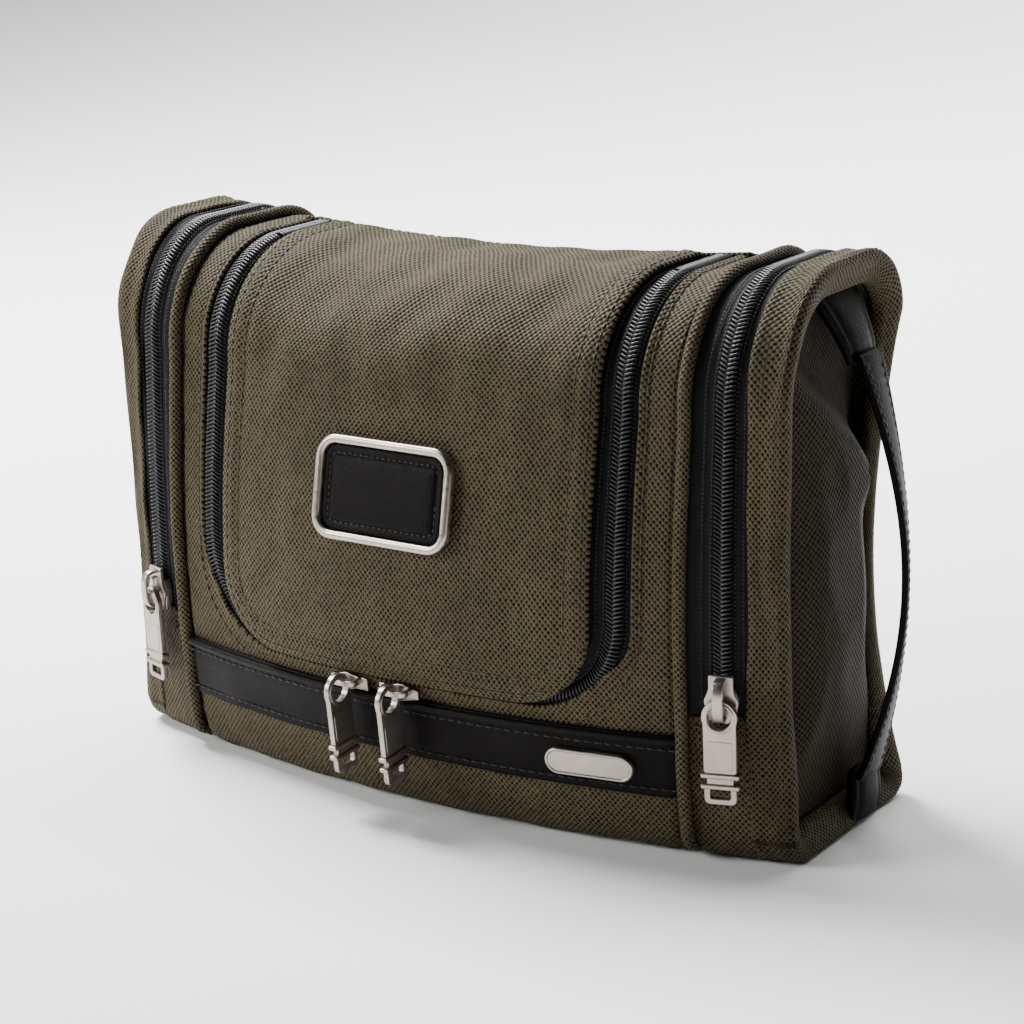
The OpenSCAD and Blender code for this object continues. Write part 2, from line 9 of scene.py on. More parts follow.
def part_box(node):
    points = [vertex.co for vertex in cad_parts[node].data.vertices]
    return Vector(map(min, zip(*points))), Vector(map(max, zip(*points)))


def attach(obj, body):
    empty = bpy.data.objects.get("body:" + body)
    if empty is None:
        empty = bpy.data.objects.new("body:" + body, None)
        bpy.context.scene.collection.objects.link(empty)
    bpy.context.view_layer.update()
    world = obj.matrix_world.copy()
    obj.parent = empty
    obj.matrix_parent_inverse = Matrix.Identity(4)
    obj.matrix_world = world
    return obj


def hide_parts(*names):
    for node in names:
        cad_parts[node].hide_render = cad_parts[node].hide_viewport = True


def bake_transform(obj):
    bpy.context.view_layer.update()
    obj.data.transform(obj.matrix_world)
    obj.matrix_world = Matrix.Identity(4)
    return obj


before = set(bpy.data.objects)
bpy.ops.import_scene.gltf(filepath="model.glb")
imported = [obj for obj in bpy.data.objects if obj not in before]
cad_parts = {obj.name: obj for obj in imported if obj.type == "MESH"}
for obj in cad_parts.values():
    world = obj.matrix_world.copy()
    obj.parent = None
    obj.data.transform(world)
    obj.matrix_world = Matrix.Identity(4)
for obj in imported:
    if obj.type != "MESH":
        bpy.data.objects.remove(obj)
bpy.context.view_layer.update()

MM = 0.001

# ---- sizes in millimetres, as in the CAD model -----------------------------------------------
HALF_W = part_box("right_rim")[1].x / MM
BAG_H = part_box("right_rim")[1].z / MM
HALF_D = 38.0
CORNER_R = 10.0
TOP_SAG = 10.0
FOOT_BULGE, FOLD_BULGE, BELLY_BULGE, BACK_BULGE = 18.0, 12.0, 11.0, 4.0
FOLD_Z = 146.0
TOP_FRONT_Y = -6.0
HINGE_Y = 18.0
BACK_Z = BAG_H - 24.0
LID_HALF_W = 76.0
LID_FOOT_Z = 49.8
LID_R = 26.0
ZIP_X, ZIP_Z, ZIP_R = 84.0, 49.2, 30.0
LID_SLIDER_Z = 47.5
END_ZIP_X = 118.0
END_SLIDER_Z = 58.0
POCKET_Z = 50.0                     # where the fabric below an end zip ends
TAPE_FOOT_Z, TEETH_FOOT_Z = 48.0, 51.0
FOOT_TAB_Z = (43.0, 51.5)
PIPING_X = 105.0
RIM_X = 127.0
BAND_Z = (22.0, 43.0)
PATCH_Z = 112.0
PATCH_SIZE = (56.0, 35.0)
CROWN_O = 7.8
PIVOT_O = 5.7
LID_SLIDERS = {"left": -16.0, "right": 5.0}
TURN = 8
WAIST_X, WAIST_Y = 6.0, 13.0      # how far the ends fall in, along the bag and forwards


# ---- camera ------------------------------------------------------------------------------------
def camera():
    """The camera looks down at the front and the right end from about 0.9 m."""
    place = Vector((0.505956, -0.691176, 0.340531))
    yaw, pitch, roll = math.radians(35.85), math.radians(16.307), math.radians(-2.417)
    back = Vector((math.sin(yaw) * math.cos(pitch), -math.cos(yaw) * math.cos(pitch), math.sin(pitch)))
    level = (-back).cross(Vector((0, 0, 1))).normalized()
    top = level.cross(-back)
    right = math.cos(roll) * level + math.sin(roll) * top
    up = -math.sin(roll) * level + math.cos(roll) * top
    data = bpy.data.cameras.new("camera")
    data.sensor_width, data.lens = 36.0, 89.84
    obj = bpy.data.objects.new("camera", data)
    obj.matrix_world = Matrix(((right.x, up.x, back.x, place.x), (right.y, up.y, back.y, place.y),
                               (right.z, up.z, back.z, place.z), (0, 0, 0, 1)))
    bpy.context.scene.collection.objects.link(obj)
    bpy.context.scene.camera = obj


camera()


# ---- the bag's curved skin ----------------------------------------------------------------------
def middle(x):
    return 1 - (x / HALF_W) ** 2


def swell(z):
    s = np.clip(z / FOLD_Z, 0, 1)
    return FOOT_BULGE + (FOLD_BULGE - FOOT_BULGE) * s + BELLY_BULGE * np.sin(np.pi * s)


def front_y(x, z):
    return -HALF_D - middle(x) * swell(z)


def front_t(z):
    return (z - CORNER_R) / (FOLD_Z - CORNER_R)


def section(x, t):
    """The skin's (y, z) at x and station t: 0-1 front, 1-2 fold, 2-3 top, 3-4 turn, 4-5 back, 5-8 base."""
    x, t = np.broadcast_arrays(np.asarray(x, float), np.asarray(t, float))
    t = t % TURN
    k = np.floor(t)
    u = t - k
    s, c = np.sin(u * np.pi / 2), np.cos(u * np.pi / 2)
    yf, y0 = front_y(x, FOLD_Z), front_y(x, CORNER_R)
    yb = HALF_D + middle(x) * BACK_BULGE
    top = BAG_H - middle(x) * TOP_SAG
    z_up = CORNER_R + (FOLD_Z - CORNER_R) * u
    r = CORNER_R
    stages = [k == i for i in range(TURN)]
    y = np.select(stages, [
        front_y(x, z_up), TOP_FRONT_Y - (TOP_FRONT_Y - yf) * c, TOP_FRONT_Y + (HINGE_Y - TOP_FRONT_Y) * u,
        HINGE_Y + (yb - HINGE_Y) * s, yb, yb - r * (1 - c), yb - r + (y0 - yb + 2 * r) * u, y0 + r * (1 - s)])
    z = np.select(stages, [
        z_up, FOLD_Z + (top - FOLD_Z) * s, top, BACK_Z + (top - BACK_Z) * c,
        BACK_Z + (CORNER_R - BACK_Z) * u, r * (1 - s), 0 * u, r * (1 - c)])
    return y, z


def slack(z):
    """1 where the unsupported ends of the bag fall in most, about half way up, and 0 at top and foot."""
    return np.sin(np.pi * np.clip((z - 4) / 164, 0, 1))


def rearward(y):
    return np.clip((y + HALF_D) / (2 * HALF_D), 0, 1)


def fall_x(y, z):
    return WAIST_X * slack(z) * (1 + rearward(y)) / 2


def skin(x, t, o=0.0):
    """Points at offset o outside the skin, in millimetres. The ends fall in half way up, most at the rear."""
    x, t, o = np.broadcast_arrays(np.asarray(x, float), np.asarray(t, float), np.asarray(o, float))
    p = crisp_skin(x, t, o)
    y, z = p[..., 1].copy(), p[..., 2]
    end = np.clip((np.abs(x) - RIM_X) / (HALF_W - RIM_X), 0, 1)
    p[..., 0] -= np.sign(x) * end * fall_x(y, z)
    p[..., 1] -= WAIST_Y * slack(z) * (x / HALF_W) ** 8 * rearward(y) ** 2
    return p


def crisp_skin(x, t, o):
    y, z = section(x, t)
    (y0, z0), (y1, z1) = section(x, t - 0.02), section(x, t + 0.02)
    dy, dz = y1 - y0, z1 - z0
    n = np.hypot(dy, dz)
    return np.stack([x, y - dz / n * o, z + dy / n * o], -1)


def front(x, z, o=0.0):
    return skin(x, front_t(np.asarray(z, float)), o)


def lengths(line):
    """Arc length from the start of a line to each of its points."""
    return np.concatenate([[0], np.cumsum(np.linalg.norm(np.diff(line, axis=0), axis=1))])


def unit(v):
    return v / np.linalg.norm(v, axis=-1, keepdims=True)


_fine = np.linspace(0, TURN, 1601)
_line = np.stack(section(100.0 + 0 * _fine, np.minimum(_fine, TURN - 1e-6)), -1)
_length = lengths(_line)


def run(t):
    """Arc length along the section at station t, in millimetres."""
    t = np.asarray(t, float)
    return np.interp(t % TURN, _fine, _length) + np.floor(t / TURN) * _length[-1]


def at_run(s):
    """The station at arc length s."""
    s = np.asarray(s, float)
    turns = np.floor(s / _length[-1])
    return np.interp(s - turns * _length[-1], _length, _fine) + TURN * turns


def stations(t0, t1, pitch):
    """Stations from t0 to t1, about pitch millimetres apart."""
    a, b = float(run(t0)), float(run(t1))
    n = max(2, int(round((b - a) / pitch)))
    t = at_run(np.linspace(a, b, n + 1))
    t[0], t[-1] = t0, t1
    return t


# ---- mesh helpers ----------------------------------------------------------------------------------
def make(name, verts, faces, uv=None, mirror=False):
    """A mesh object from points in millimetres; uv holds one (u, v) in millimetres for each point."""
    verts = np.array(verts, float)
    if mirror:
        verts[:, 0] *= -1
        faces = [f[::-1] for f in faces]
    used, renumbered = np.unique(np.concatenate([np.asarray(f) for f in faces]), return_inverse=True)
    ends = np.cumsum([len(f) for f in faces])[:-1]
    mesh = bpy.data.meshes.new(name)
    mesh.from_pydata((verts[used] * MM).tolist(), [], [f.tolist() for f in np.split(renumbered, ends)])
    if uv is not None:
        layer = mesh.uv_layers.new(name="UVMap")
        index = np.zeros(len(mesh.loops), np.int32)
        mesh.loops.foreach_get("vertex_index", index)
        layer.data.foreach_set("uv", (np.asarray(uv)[used] * MM)[index].astype(np.float32).ravel())
    mesh.polygons.foreach_set("use_smooth", [True] * len(mesh.polygons))
    mesh.update()
    obj = bpy.data.objects.new(name, mesh)
    bpy.context.scene.collection.objects.link(obj)
    return obj


def grid_faces(rows, cols, wrap_rows=False, wrap_cols=False, start=0, flip=False):
    faces = []
    for i in range(rows if wrap_rows else rows - 1):
        for j in range(cols if wrap_cols else cols - 1):
            a = start + i * cols + j
            b = start + i * cols + (j + 1) % cols
            c = start + (i + 1) % rows * cols + (j + 1) % cols
            d = start + (i + 1) % rows * cols + j
            faces.append((a, d, c, b) if flip else (a, b, c, d))
    return faces


def caps(rows, m):
    """The two end faces of a tube of rows rings with m points each."""
    return [tuple(range(m))[::-1], tuple(range((rows - 1) * m, rows * m))]


def grid_normals(p):
    """Unit normals of a grid of points, pointing out of the bag for rows that climb its front."""
    du, dv = np.gradient(p, axis=1), np.gradient(p, axis=0)
    n = np.cross(du, dv)
    return n / np.maximum(np.linalg.norm(n, axis=-1, keepdims=True), 1e-9)


def slab(name, p, uv, thick, edge=0.35, mirror=False, open_start=False, open_end=False):
    """A cloth layer: p is its outer grid of points, rows by columns, and it is thick deep with rolled edges.
    An open first or last row has no edge, because another layer carries on from it."""
    rows, cols = p.shape[:2]
    n = grid_normals(p)
    inner = p - n * thick
    ring = [(0, j) for j in range(cols)] + [(i, cols - 1) for i in range(1, rows)]
    ring += [(rows - 1, j) for j in range(cols - 2, -1, -1)] + [(i, 0) for i in range(rows - 2, 0, -1)]
    ri, rj = np.array(ring).T
    mid = (p[ri, rj] + inner[ri, rj]) / 2
    away = np.cross(np.roll(mid, -1, 0) - np.roll(mid, 1, 0), n[ri, rj])
    away /= np.maximum(np.linalg.norm(away, axis=1, keepdims=True), 1e-9)
    mid = mid + away * thick * edge
    verts = np.concatenate([p.reshape(-1, 3), inner.reshape(-1, 3), mid])
    uvs = np.concatenate([uv.reshape(-1, 2), uv.reshape(-1, 2), uv[ri, rj]])
    size = rows * cols
    faces = grid_faces(rows, cols) + grid_faces(rows, cols, start=size, flip=True)
    for k in range(len(ring)):
        q = (k + 1) % len(ring)
        if (open_start and ri[k] == ri[q] == 0) or (open_end and ri[k] == ri[q] == rows - 1):
            continue
        a, b = ri[k] * cols + rj[k], ri[q] * cols + rj[q]
        faces.append((b, a, 2 * size + k, 2 * size + q))
        faces.append((2 * size + q, 2 * size + k, size + a, size + b))
    return make(name, verts, faces, uvs, mirror)


def tube(name, path, radius, sides=10, closed=False, uv_scale=1.0):
    """A round bead along a line of points."""
    path = np.asarray(path, float)
    tangent = np.gradient(path, axis=0)
    if closed:
        tangent = np.roll(path, -1, 0) - np.roll(path, 1, 0)
    tangent = unit(tangent)
    side = unit(np.cross(tangent, np.array([1.0, 0.02, 0.03])))
    up = np.cross(side, tangent)
    a = np.linspace(0, 2 * np.pi, sides, endpoint=False)
    ring = (side[:, None] * np.cos(a)[None, :, None] + up[:, None] * np.sin(a)[None, :, None]) * radius
    verts = (path[:, None] + ring).reshape(-1, 3)
    faces = grid_faces(len(path), sides, wrap_rows=closed, wrap_cols=True, flip=True)
    if not closed:
        faces.append(tuple(range(sides)))
        faces.append(tuple(range(len(path) * sides - 1, len(path) * sides - 1 - sides, -1)))
    s = lengths(path)
    uv = np.stack(np.broadcast_arrays((a * radius)[None], s[:, None] * uv_scale), -1).reshape(-1, 2)
    return make(name, verts, faces, uv)


def frames_along(points, normals):
    """Tangent, side and normal at each of a row of points."""
    tangent = unit(np.gradient(points, axis=0))
    side = unit(np.cross(normals, tangent))
    return tangent, side, np.cross(tangent, side)


def even_path(points, normals, pitch, start=0.5, spare=0.0):
    """The path resampled so that its points are pitch apart, from start pitches in to spare from its end."""
    s = lengths(points)
    want = np.arange(pitch * start, s[-1] - spare, pitch)
    p = np.stack([np.interp(want, s, points[:, i]) for i in range(3)], -1)
    n = np.stack([np.interp(want, s, normals[:, i]) for i in range(3)], -1)
    return p, unit(n)


def path_normals(x, t):
    return unit(skin(x, t, 1.0) - skin(x, t, 0.0))


def scatter(name, template, faces, origin, tangent, side, normal):
    """Copies of a small template, whose axes are along, across and out of the surface."""
    t = np.asarray(template, float)
    verts = (origin[:, None] + t[None, :, 0:1] * tangent[:, None] + t[None, :, 1:2] * side[:, None]
             + t[None, :, 2:3] * normal[:, None])
    m = len(t)
    every = [tuple(v + k * m for v in f) for k in range(len(origin)) for f in faces]
    uv = np.tile(t[:, :2], (len(origin), 1))
    return make(name, verts.reshape(-1, 3), every, uv)


def rod_template(stops, sides=6):
    """A short rod given as [along, across, height, half width, half height] stops along its axis."""
    verts = []
    a = np.linspace(0, 2 * np.pi, sides, endpoint=False)
    for along, across, height, wide, high in stops:
        for k in a:
            verts.append((along + wide * math.cos(k), across, height + high * math.sin(k)))
    return verts, grid_faces(len(stops), sides, wrap_cols=True) + caps(len(stops), sides)


def stitches(name, x, t, o, pitch=3.6, length=2.7, r=0.27, body="bag", mat=None):
    """A row of lock stitches along a line on the skin."""
    p, n = even_path(skin(x, t, o), path_normals(x, t), pitch)
    return stitch_row(name, p, n, length, r, body, mat)


def stitch_row(name, p, n, length=2.7, r=0.27, body="bag", mat=None):
    tangent, side, normal = frames_along(p, n)
    h = length / 2
    stops = [(0, -h, -0.8 * r, 0.5 * r, 0.5 * r), (0, -0.7 * h, 0.4 * r, r, 0.9 * r),
             (0, 0, 0.75 * r, 1.1 * r, r),
             (0, 0.7 * h, 0.4 * r, r, 0.9 * r), (0, h, -0.8 * r, 0.5 * r, 0.5 * r)]
    verts, faces = rod_template(stops)
    obj = scatter(name, verts, faces, p, side, tangent, normal)
    return finish(obj, mat or thread_brown, body)


def finish(obj, mat, body, replaces=()):
    """Material, body and replaced CAD nodes of a new piece."""
    obj.data.materials.clear()
    obj.data.materials.append(mat)
    if isinstance(body, str):
        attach(obj, body)
    if replaces:
        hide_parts(*replaces)
    return obj


# ---- procedural materials ----------------------------------------------------------------------------
class Nodes:
    """Small helper for writing a node material."""

    def __init__(self, name, slot, **sockets):
        self.mat = bpy.data.materials.new(name)
        self.mat.use_nodes = True
        self.mat["slot"] = slot
        self.tree = self.mat.node_tree
        self.bsdf = self.tree.nodes["Principled BSDF"]
        for key, value in sockets.items():
            self.bsdf.inputs[key.replace("_", " ")].default_value = value

    def add(self, kind, values=(), **settings):
        node = self.tree.nodes.new(kind)
        for key, value in settings.items():
            setattr(node, key, value)
        for key, value in dict(values).items():
            self.put(node.inputs[key], value)
        return node

    def put(self, socket, value):
        if isinstance(value, bpy.types.NodeSocket):
            self.tree.links.new(value, socket)
        else:
            socket.default_value = value

    def math(self, op, a, b=0.0, c=0.0):
        node = self.add("ShaderNodeMath", operation=op)
        for socket, value in zip(node.inputs, (a, b, c)):
            self.put(socket, value)
        return node.outputs[0]

    def mix(self, factor, a, b):
        node = self.add("ShaderNodeMix", data_type="RGBA")
        self.put(node.inputs[0], factor)
        self.put(node.inputs[6], a)
        self.put(node.inputs[7], b)
        return node.outputs[2]

    def mix_value(self, factor, a, b):
        node = self.add("ShaderNodeMix", data_type="FLOAT")
        for socket, value in zip(node.inputs, (factor, 0.5, a, b)):
            if socket.type == "VALUE":
                self.put(socket, value)
        return node.outputs[0]

    def ramp(self, value, low, high, to_low=0.0, to_high=1.0):
        node = self.add("ShaderNodeMapRange", {0: value, 1: low, 2: high, 3: to_low, 4: to_high})
        return node.outputs[0]

    def noise(self, vector, scale, detail=3.0, rough=0.55):
        node = self.add("ShaderNodeTexNoise", {"Vector": vector, "Scale": scale, "Detail": detail,
                                               "Roughness": rough})
        return node.outputs[0]

    def bump(self, height, strength, distance, normal=None):
        node = self.add("ShaderNodeBump", {"Height": height, "Strength": strength, "Distance": distance})
        if normal is not None:
            self.put(node.inputs["Normal"], normal)
        return node.outputs[0]

    def coords(self, which):
        return self.add("ShaderNodeTexCoord").outputs[which]

    def out(self, key, value):
        self.put(self.bsdf.inputs[key], value)


def colour(r, g, b):
    return (r, g, b, 1.0)


def yarn_grid(m, obj, pitch):
    """The two thread counts at a point of a woven cloth, with the slight wander of real yarns."""
    uv = m.coords("UV")
    wobble = m.noise(obj, 140.0, 2.0)
    drift = m.noise(obj, 30.0, 2.0)
    shifted = m.add("ShaderNodeVectorMath", {0: uv}, operation="ADD")
    offset = m.add("ShaderNodeCombineXYZ", {0: m.math("MULTIPLY", wobble, 0.0007),
                                            1: m.math("MULTIPLY", drift, 0.003)})
    m.put(shifted.inputs[1], offset.outputs[0])
    xyz = m.add("ShaderNodeSeparateXYZ", {0: shifted.outputs[0]})
    u = m.math("DIVIDE", xyz.outputs[0], pitch[0] * MM)
    v = m.math("DIVIDE", xyz.outputs[1], pitch[1] * MM)
    return u, v


def nylon(name="ballistic_nylon", light=(0.080, 0.0625, 0.034), dark=(0.0040, 0.0030, 0.0016),
          pitch=(0.96, 1.12), slot="ballistic_nylon"):
    """Coarse plain weave: pale warp floats, with the weft showing between them as staggered dark dots."""
    m = Nodes(name, slot, Roughness=0.62, Specular_IOR_Level=0.08, Sheen_Weight=0.01, Sheen_Roughness=0.4)
    obj = m.coords("Object")
    u, v = yarn_grid(m, obj, pitch)
    wave_u = m.math("SINE", m.math("MULTIPLY", u, math.pi))
    wave_v = m.math("SINE", m.math("MULTIPLY", v, math.pi))
    float_height = m.math("MULTIPLY", wave_u, wave_v)
    warp = m.math("ABSOLUTE", m.math("SINE", m.math("MULTIPLY", u, 4 * math.pi)))
    weft = m.math("ABSOLUTE", m.math("SINE", m.math("MULTIPLY", v, 4 * math.pi)))
    above = m.ramp(float_height, -0.15, 0.15)
    filaments = m.mix_value(above, weft, warp)
    height = m.math("ADD", float_height, m.math("MULTIPLY", filaments, 0.10))
    cell = m.add("ShaderNodeCombineXYZ", {0: m.math("FLOOR", u), 1: m.math("FLOOR", v)})
    random = m.add("ShaderNodeTexWhiteNoise", {"Vector": cell.outputs[0]}, noise_dimensions="2D").outputs[0]
    patchy = m.noise(obj, 26.0, 4.0)
    depth = m.math("ADD", float_height, m.ramp(random, 0.0, 1.0, -0.28, 0.22))
    tone = m.math("MULTIPLY", m.ramp(depth, -0.72, 0.10), m.ramp(filaments, 0.0, 1.0, 0.82, 1.0))
    tone = m.math("MULTIPLY", tone, m.ramp(patchy, 0.3, 0.7, 0.80, 1.12))
    green = m.mix(m.ramp(m.noise(obj, 60.0, 3.0), 0.35, 0.65), colour(*light),
                  colour(light[0] * 0.93, light[1] * 0.99, light[2] * 0.95))
    m.out("Base Color", m.mix(tone, colour(*dark), green))
    m.out("Roughness", m.ramp(height, -0.8, 0.8, 0.8, 0.5))
    soft = m.bump(patchy, 0.25, 0.0015)
    m.out("Normal", m.bump(height, 1.0, 0.00022, soft))
    return m.mat


def ribbed(name, base, slot, pitch=0.55, rough=0.6, along=1, strength=0.6, spec=0.10):
    """Twill tape or webbing: fine ribs across its length, with a slight fleck."""
    m = Nodes(name, slot, Roughness=rough, Specular_IOR_Level=spec, Sheen_Weight=0.02, Sheen_Roughness=0.4)
    xyz = m.add("ShaderNodeSeparateXYZ", {0: m.coords("UV")})
    across, length = xyz.outputs[1 - along], xyz.outputs[along]
    slant = m.math("ADD", length, m.math("MULTIPLY", across, 0.35))
    ribs = m.math("ABSOLUTE", m.math("SINE", m.math("MULTIPLY", slant, math.pi / (pitch * MM))))
    yarn = m.math("ABSOLUTE", m.math("SINE", m.math("MULTIPLY", across, math.pi / (0.8 * pitch * MM))))
    height = m.math("MULTIPLY", ribs, m.ramp(yarn, 0.0, 1.0, 0.6, 1.0))
    fleck = m.noise(m.coords("Object"), 700.0, 3.0)
    tone = m.math("MULTIPLY", m.ramp(height, 0.0, 1.0, 0.35, 1.0), m.ramp(fleck, 0.3, 0.7, 0.8, 1.15))
    m.out("Base Color", m.mix(tone, colour(*[c * 0.3 for c in base]), colour(*base)))
    m.out("Roughness", m.ramp(fleck, 0.3, 0.7, rough - 0.06, rough + 0.1))
    m.out("Normal", m.bump(height, strength, 0.00012))
    return m.mat


def leather(name="black_leather", base=(0.0024, 0.0017, 0.0015)):
    """Fine-grained leather: pebbles from two sizes of cell, creases, and lighter worn high spots."""
    m = Nodes(name, "black_leather", Specular_IOR_Level=0.06)
    obj = m.coords("Object")
    cells = m.add("ShaderNodeTexVoronoi", {"Vector": obj, "Scale": 1300.0}, feature="F1").outputs[0]
    fine = m.add("ShaderNodeTexVoronoi", {"Vector": obj, "Scale": 2600.0}, feature="F1").outputs[0]
    creases = m.noise(obj, 240.0, 5.0, 0.65)
    wear = m.noise(obj, 35.0, 4.0)
    pebble = m.math("ADD", m.ramp(cells, 0.0, 0.7, 1.0, 0.0), m.math("MULTIPLY", fine, -0.35))
    height = m.math("ADD", pebble, m.math("MULTIPLY", creases, 0.8))
    tone = m.math("MULTIPLY", m.ramp(height, 0.2, 1.4, 0.55, 1.2), m.ramp(wear, 0.35, 0.7, 0.85, 1.25))
    m.out("Base Color", m.mix(tone, colour(*[c * 0.35 for c in base]), colour(*[c * 1.7 for c in base])))
    m.out("Roughness", m.ramp(wear, 0.3, 0.7, 0.55, 0.42))
    m.out("Normal", m.bump(height, 0.55, 0.00016))
    return m.mat


def nickel(name="warm_nickel", base=(0.36, 0.315, 0.275), rough=0.33, scale=(900.0, 60.0, 900.0)):
    """Brushed warm nickel: streaks along one direction, faint smudges and duller hollows."""
    m = Nodes(name, "warm_nickel", Metallic=1.0, Anisotropic=0.35)
    obj = m.coords("Object")
    stretched = m.add("ShaderNodeVectorMath", {0: obj, 1: scale}, operation="MULTIPLY").outputs[0]
    streak = m.noise(stretched, 1.0, 4.0, 0.6)
    smudge = m.noise(obj, 90.0, 3.0)
    m.out("Base Color", m.mix(m.ramp(smudge, 0.35, 0.7), colour(*base), colour(*[c * 0.86 for c in base])))
    roughness = m.math("ADD", m.ramp(streak, 0.3, 0.7, rough - 0.06, rough + 0.1),
                       m.ramp(smudge, 0.4, 0.7, 0.0, 0.06))
    m.out("Roughness", roughness)
    m.out("Normal", m.bump(streak, 0.25, 0.00004))
    return m.mat


def coil_plastic():
    """Glossy black nylon monofilament with slight ripples."""
    m = Nodes("zip_coil", "zip_coil", Specular_IOR_Level=0.32)
    obj = m.coords("Object")
    ripple = m.noise(obj, 1500.0, 2.0)
    dust = m.noise(obj, 260.0, 4.0)
    tone = m.ramp(dust, 0.4, 0.75)
    m.out("Base Color", m.mix(tone, colour(0.0025, 0.0025, 0.003), colour(0.009, 0.009, 0.009)))
    m.out("Roughness", m.ramp(dust, 0.35, 0.7, 0.30, 0.45))
    m.out("Normal", m.bump(ripple, 0.15, 0.00006))
    return m.mat


def thread(name, base, slot="ballistic_nylon"):
    """Twisted sewing thread."""
    m = Nodes(name, slot, Specular_IOR_Level=0.35, Sheen_Weight=0.1, Sheen_Roughness=0.4)
    xyz = m.add("ShaderNodeSeparateXYZ", {0: m.coords("UV")})
    slant = m.math("ADD", xyz.outputs[0], xyz.outputs[1])
    ply = m.math("ABSOLUTE", m.math("SINE", m.math("MULTIPLY", slant, math.pi / 0.00035)))
    fleck = m.noise(m.coords("Object"), 900.0, 2.0)
    tone = m.math("MULTIPLY", m.ramp(ply, 0.0, 1.0, 0.45, 1.0), m.ramp(fleck, 0.3, 0.7, 0.8, 1.2))
    m.out("Base Color", m.mix(tone, colour(*[c * 0.35 for c in base]), colour(*base)))
    m.out("Roughness", m.ramp(fleck, 0.3, 0.7, 0.45, 0.65))
    m.out("Normal", m.bump(ply, 0.5, 0.00008))
    return m.mat


def netting():
    """Black pocket mesh: a honeycomb of small dark holes in a knitted ground."""
    m = Nodes("pocket_mesh", "mesh", Roughness=0.7, Specular_IOR_Level=0.3, Sheen_Weight=0.1)
    uv = m.coords("UV")
    grid = {"Vector": uv, "Scale": 420.0, "Randomness": 0.12}
    holes = m.add("ShaderNodeTexVoronoi", grid, feature="F1").outputs[0]
    knit = m.noise(m.coords("Object"), 1100.0, 2.0)
    ground = m.ramp(holes, 0.32, 0.45)
    tone = m.math("MULTIPLY", ground, m.ramp(knit, 0.3, 0.7, 0.7, 1.1))
    m.out("Base Color", m.mix(tone, colour(0.004, 0.004, 0.004), colour(0.075, 0.075, 0.078)))
    m.out("Roughness", m.ramp(ground, 0.0, 1.0, 0.95, 0.6))
    m.out("Normal", m.bump(ground, 0.8, 0.0003))
    return m.mat


fabric = nylon()
# painted shade: the end walls get a copy of the bag's nylon at less than half its brightness, for the shade
# that falls on them
shaded_end_cloth = nylon("shaded_end_nylon", (0.034, 0.0265, 0.0145), (0.0025, 0.0019, 0.0010))
piping_cloth = nylon("piping_nylon", pitch=(0.9, 1.0))
lining_cloth = ribbed("lining_polyester", (0.022, 0.021, 0.023), "black_lining", pitch=0.35, rough=0.5,
                      strength=0.3)
tape_cloth = ribbed("zip_tape", (0.009, 0.0088, 0.0098), "zip_tape", pitch=0.6, rough=0.62)
webbing_cloth = ribbed("webbing", (0.018, 0.018, 0.018), "webbing", pitch=1.1, rough=0.6, strength=0.8)
mesh_cloth = netting()
leather_skin = leather()
edge_leather = leather("edge_leather", (0.0050, 0.0044, 0.0042))
nickel_plain = nickel()
nickel_frame = nickel("brushed_frame", (0.38, 0.335, 0.29), 0.30, (60.0, 900.0, 900.0))
coil_gloss = coil_plastic()
thread_brown = thread("brown_thread", (0.050, 0.037, 0.020))
thread_black = thread("black_thread", (0.009, 0.008, 0.008), "black_leather")


# ---- curves and offsets on the skin ------------------------------------------------------------------
def u_curve(half, foot, r, t_end, pitch=1.8, turn_steps=None, foot_steps=None):
    """A U on the skin, from the top of its left leg to the top of its right one: arrays of x and t."""
    zc = foot + r
    leg = stations(float(front_t(zc)), t_end, pitch)
    turns = np.linspace(0, np.pi / 2, turn_steps or max(4, int(r * 1.6 / pitch)))[1:]
    turn_x, turn_z = half - r + r * np.sin(turns), zc - r * np.cos(turns)
    foot_x = np.linspace(-(half - r), half - r, foot_steps or max(3, int(2 * (half - r) / pitch)))
    x = np.concatenate([0 * leg - half, -turn_x[::-1][1:], foot_x, turn_x[:-1], 0 * leg + half])
    turn_t = front_t(turn_z)
    t = np.concatenate([leg[::-1], turn_t[::-1][1:], 0 * foot_x + front_t(foot), turn_t[:-1], leg])
    return x, t


def lid_curve(e, t_end, pitch=1.8):
    """The line that lies e inside the lid's edge."""
    return u_curve(LID_HALF_W - e, LID_FOOT_Z + e, LID_R - e, t_end, pitch)


def bell(x, width):
    return np.exp(-(x / width) ** 2)


def ease(x, low, high):
    u = np.clip((x - low) / (high - low), 0, 1)
    return u * u * (3 - 2 * u)


def rumple(x, s, seed, scale=34.0):
    """Soft undulation of handled cloth, between about -1 and 1."""
    rng = np.random.default_rng(seed)
    total = 0
    for k in range(7):
        angle, phase = rng.uniform(0, np.pi), rng.uniform(0, 2 * np.pi, 2)
        f = 2 * np.pi / (scale * rng.uniform(0.5, 1.6))
        bend = 1.2 * np.sin((x * math.sin(angle) - s * math.cos(angle)) * f * 0.37 + phase[1])
        wave = np.sin((x * math.cos(angle) + s * math.sin(angle)) * f + phase[0] + bend)
        total = total + wave / (1 + 0.25 * k)
    return total / 2.6


def surface_uv(x, t):
    x, t = np.broadcast_arrays(x, t)
    return np.stack([x, run(t)], -1)


def slab_on_skin(name, x, t, o, thick, **options):
    x, t, o = np.broadcast_arrays(x, t, o)
    return slab(name, skin(x, t, o), surface_uv(x, t), thick, **options)


def panel(name, x0, x1, t0, t1, offset, thick, pitch=2.0, **options):
    """A rectangle of cloth on the skin; offset is a function of x and arc length."""
    xs = np.linspace(x0, x1, max(3, int((x1 - x0) / pitch)) + 1)[None]
    ts = stations(t0, t1, pitch)[:, None]
    return slab_on_skin(name, xs, ts, offset(xs, run(ts)), thick, **options)


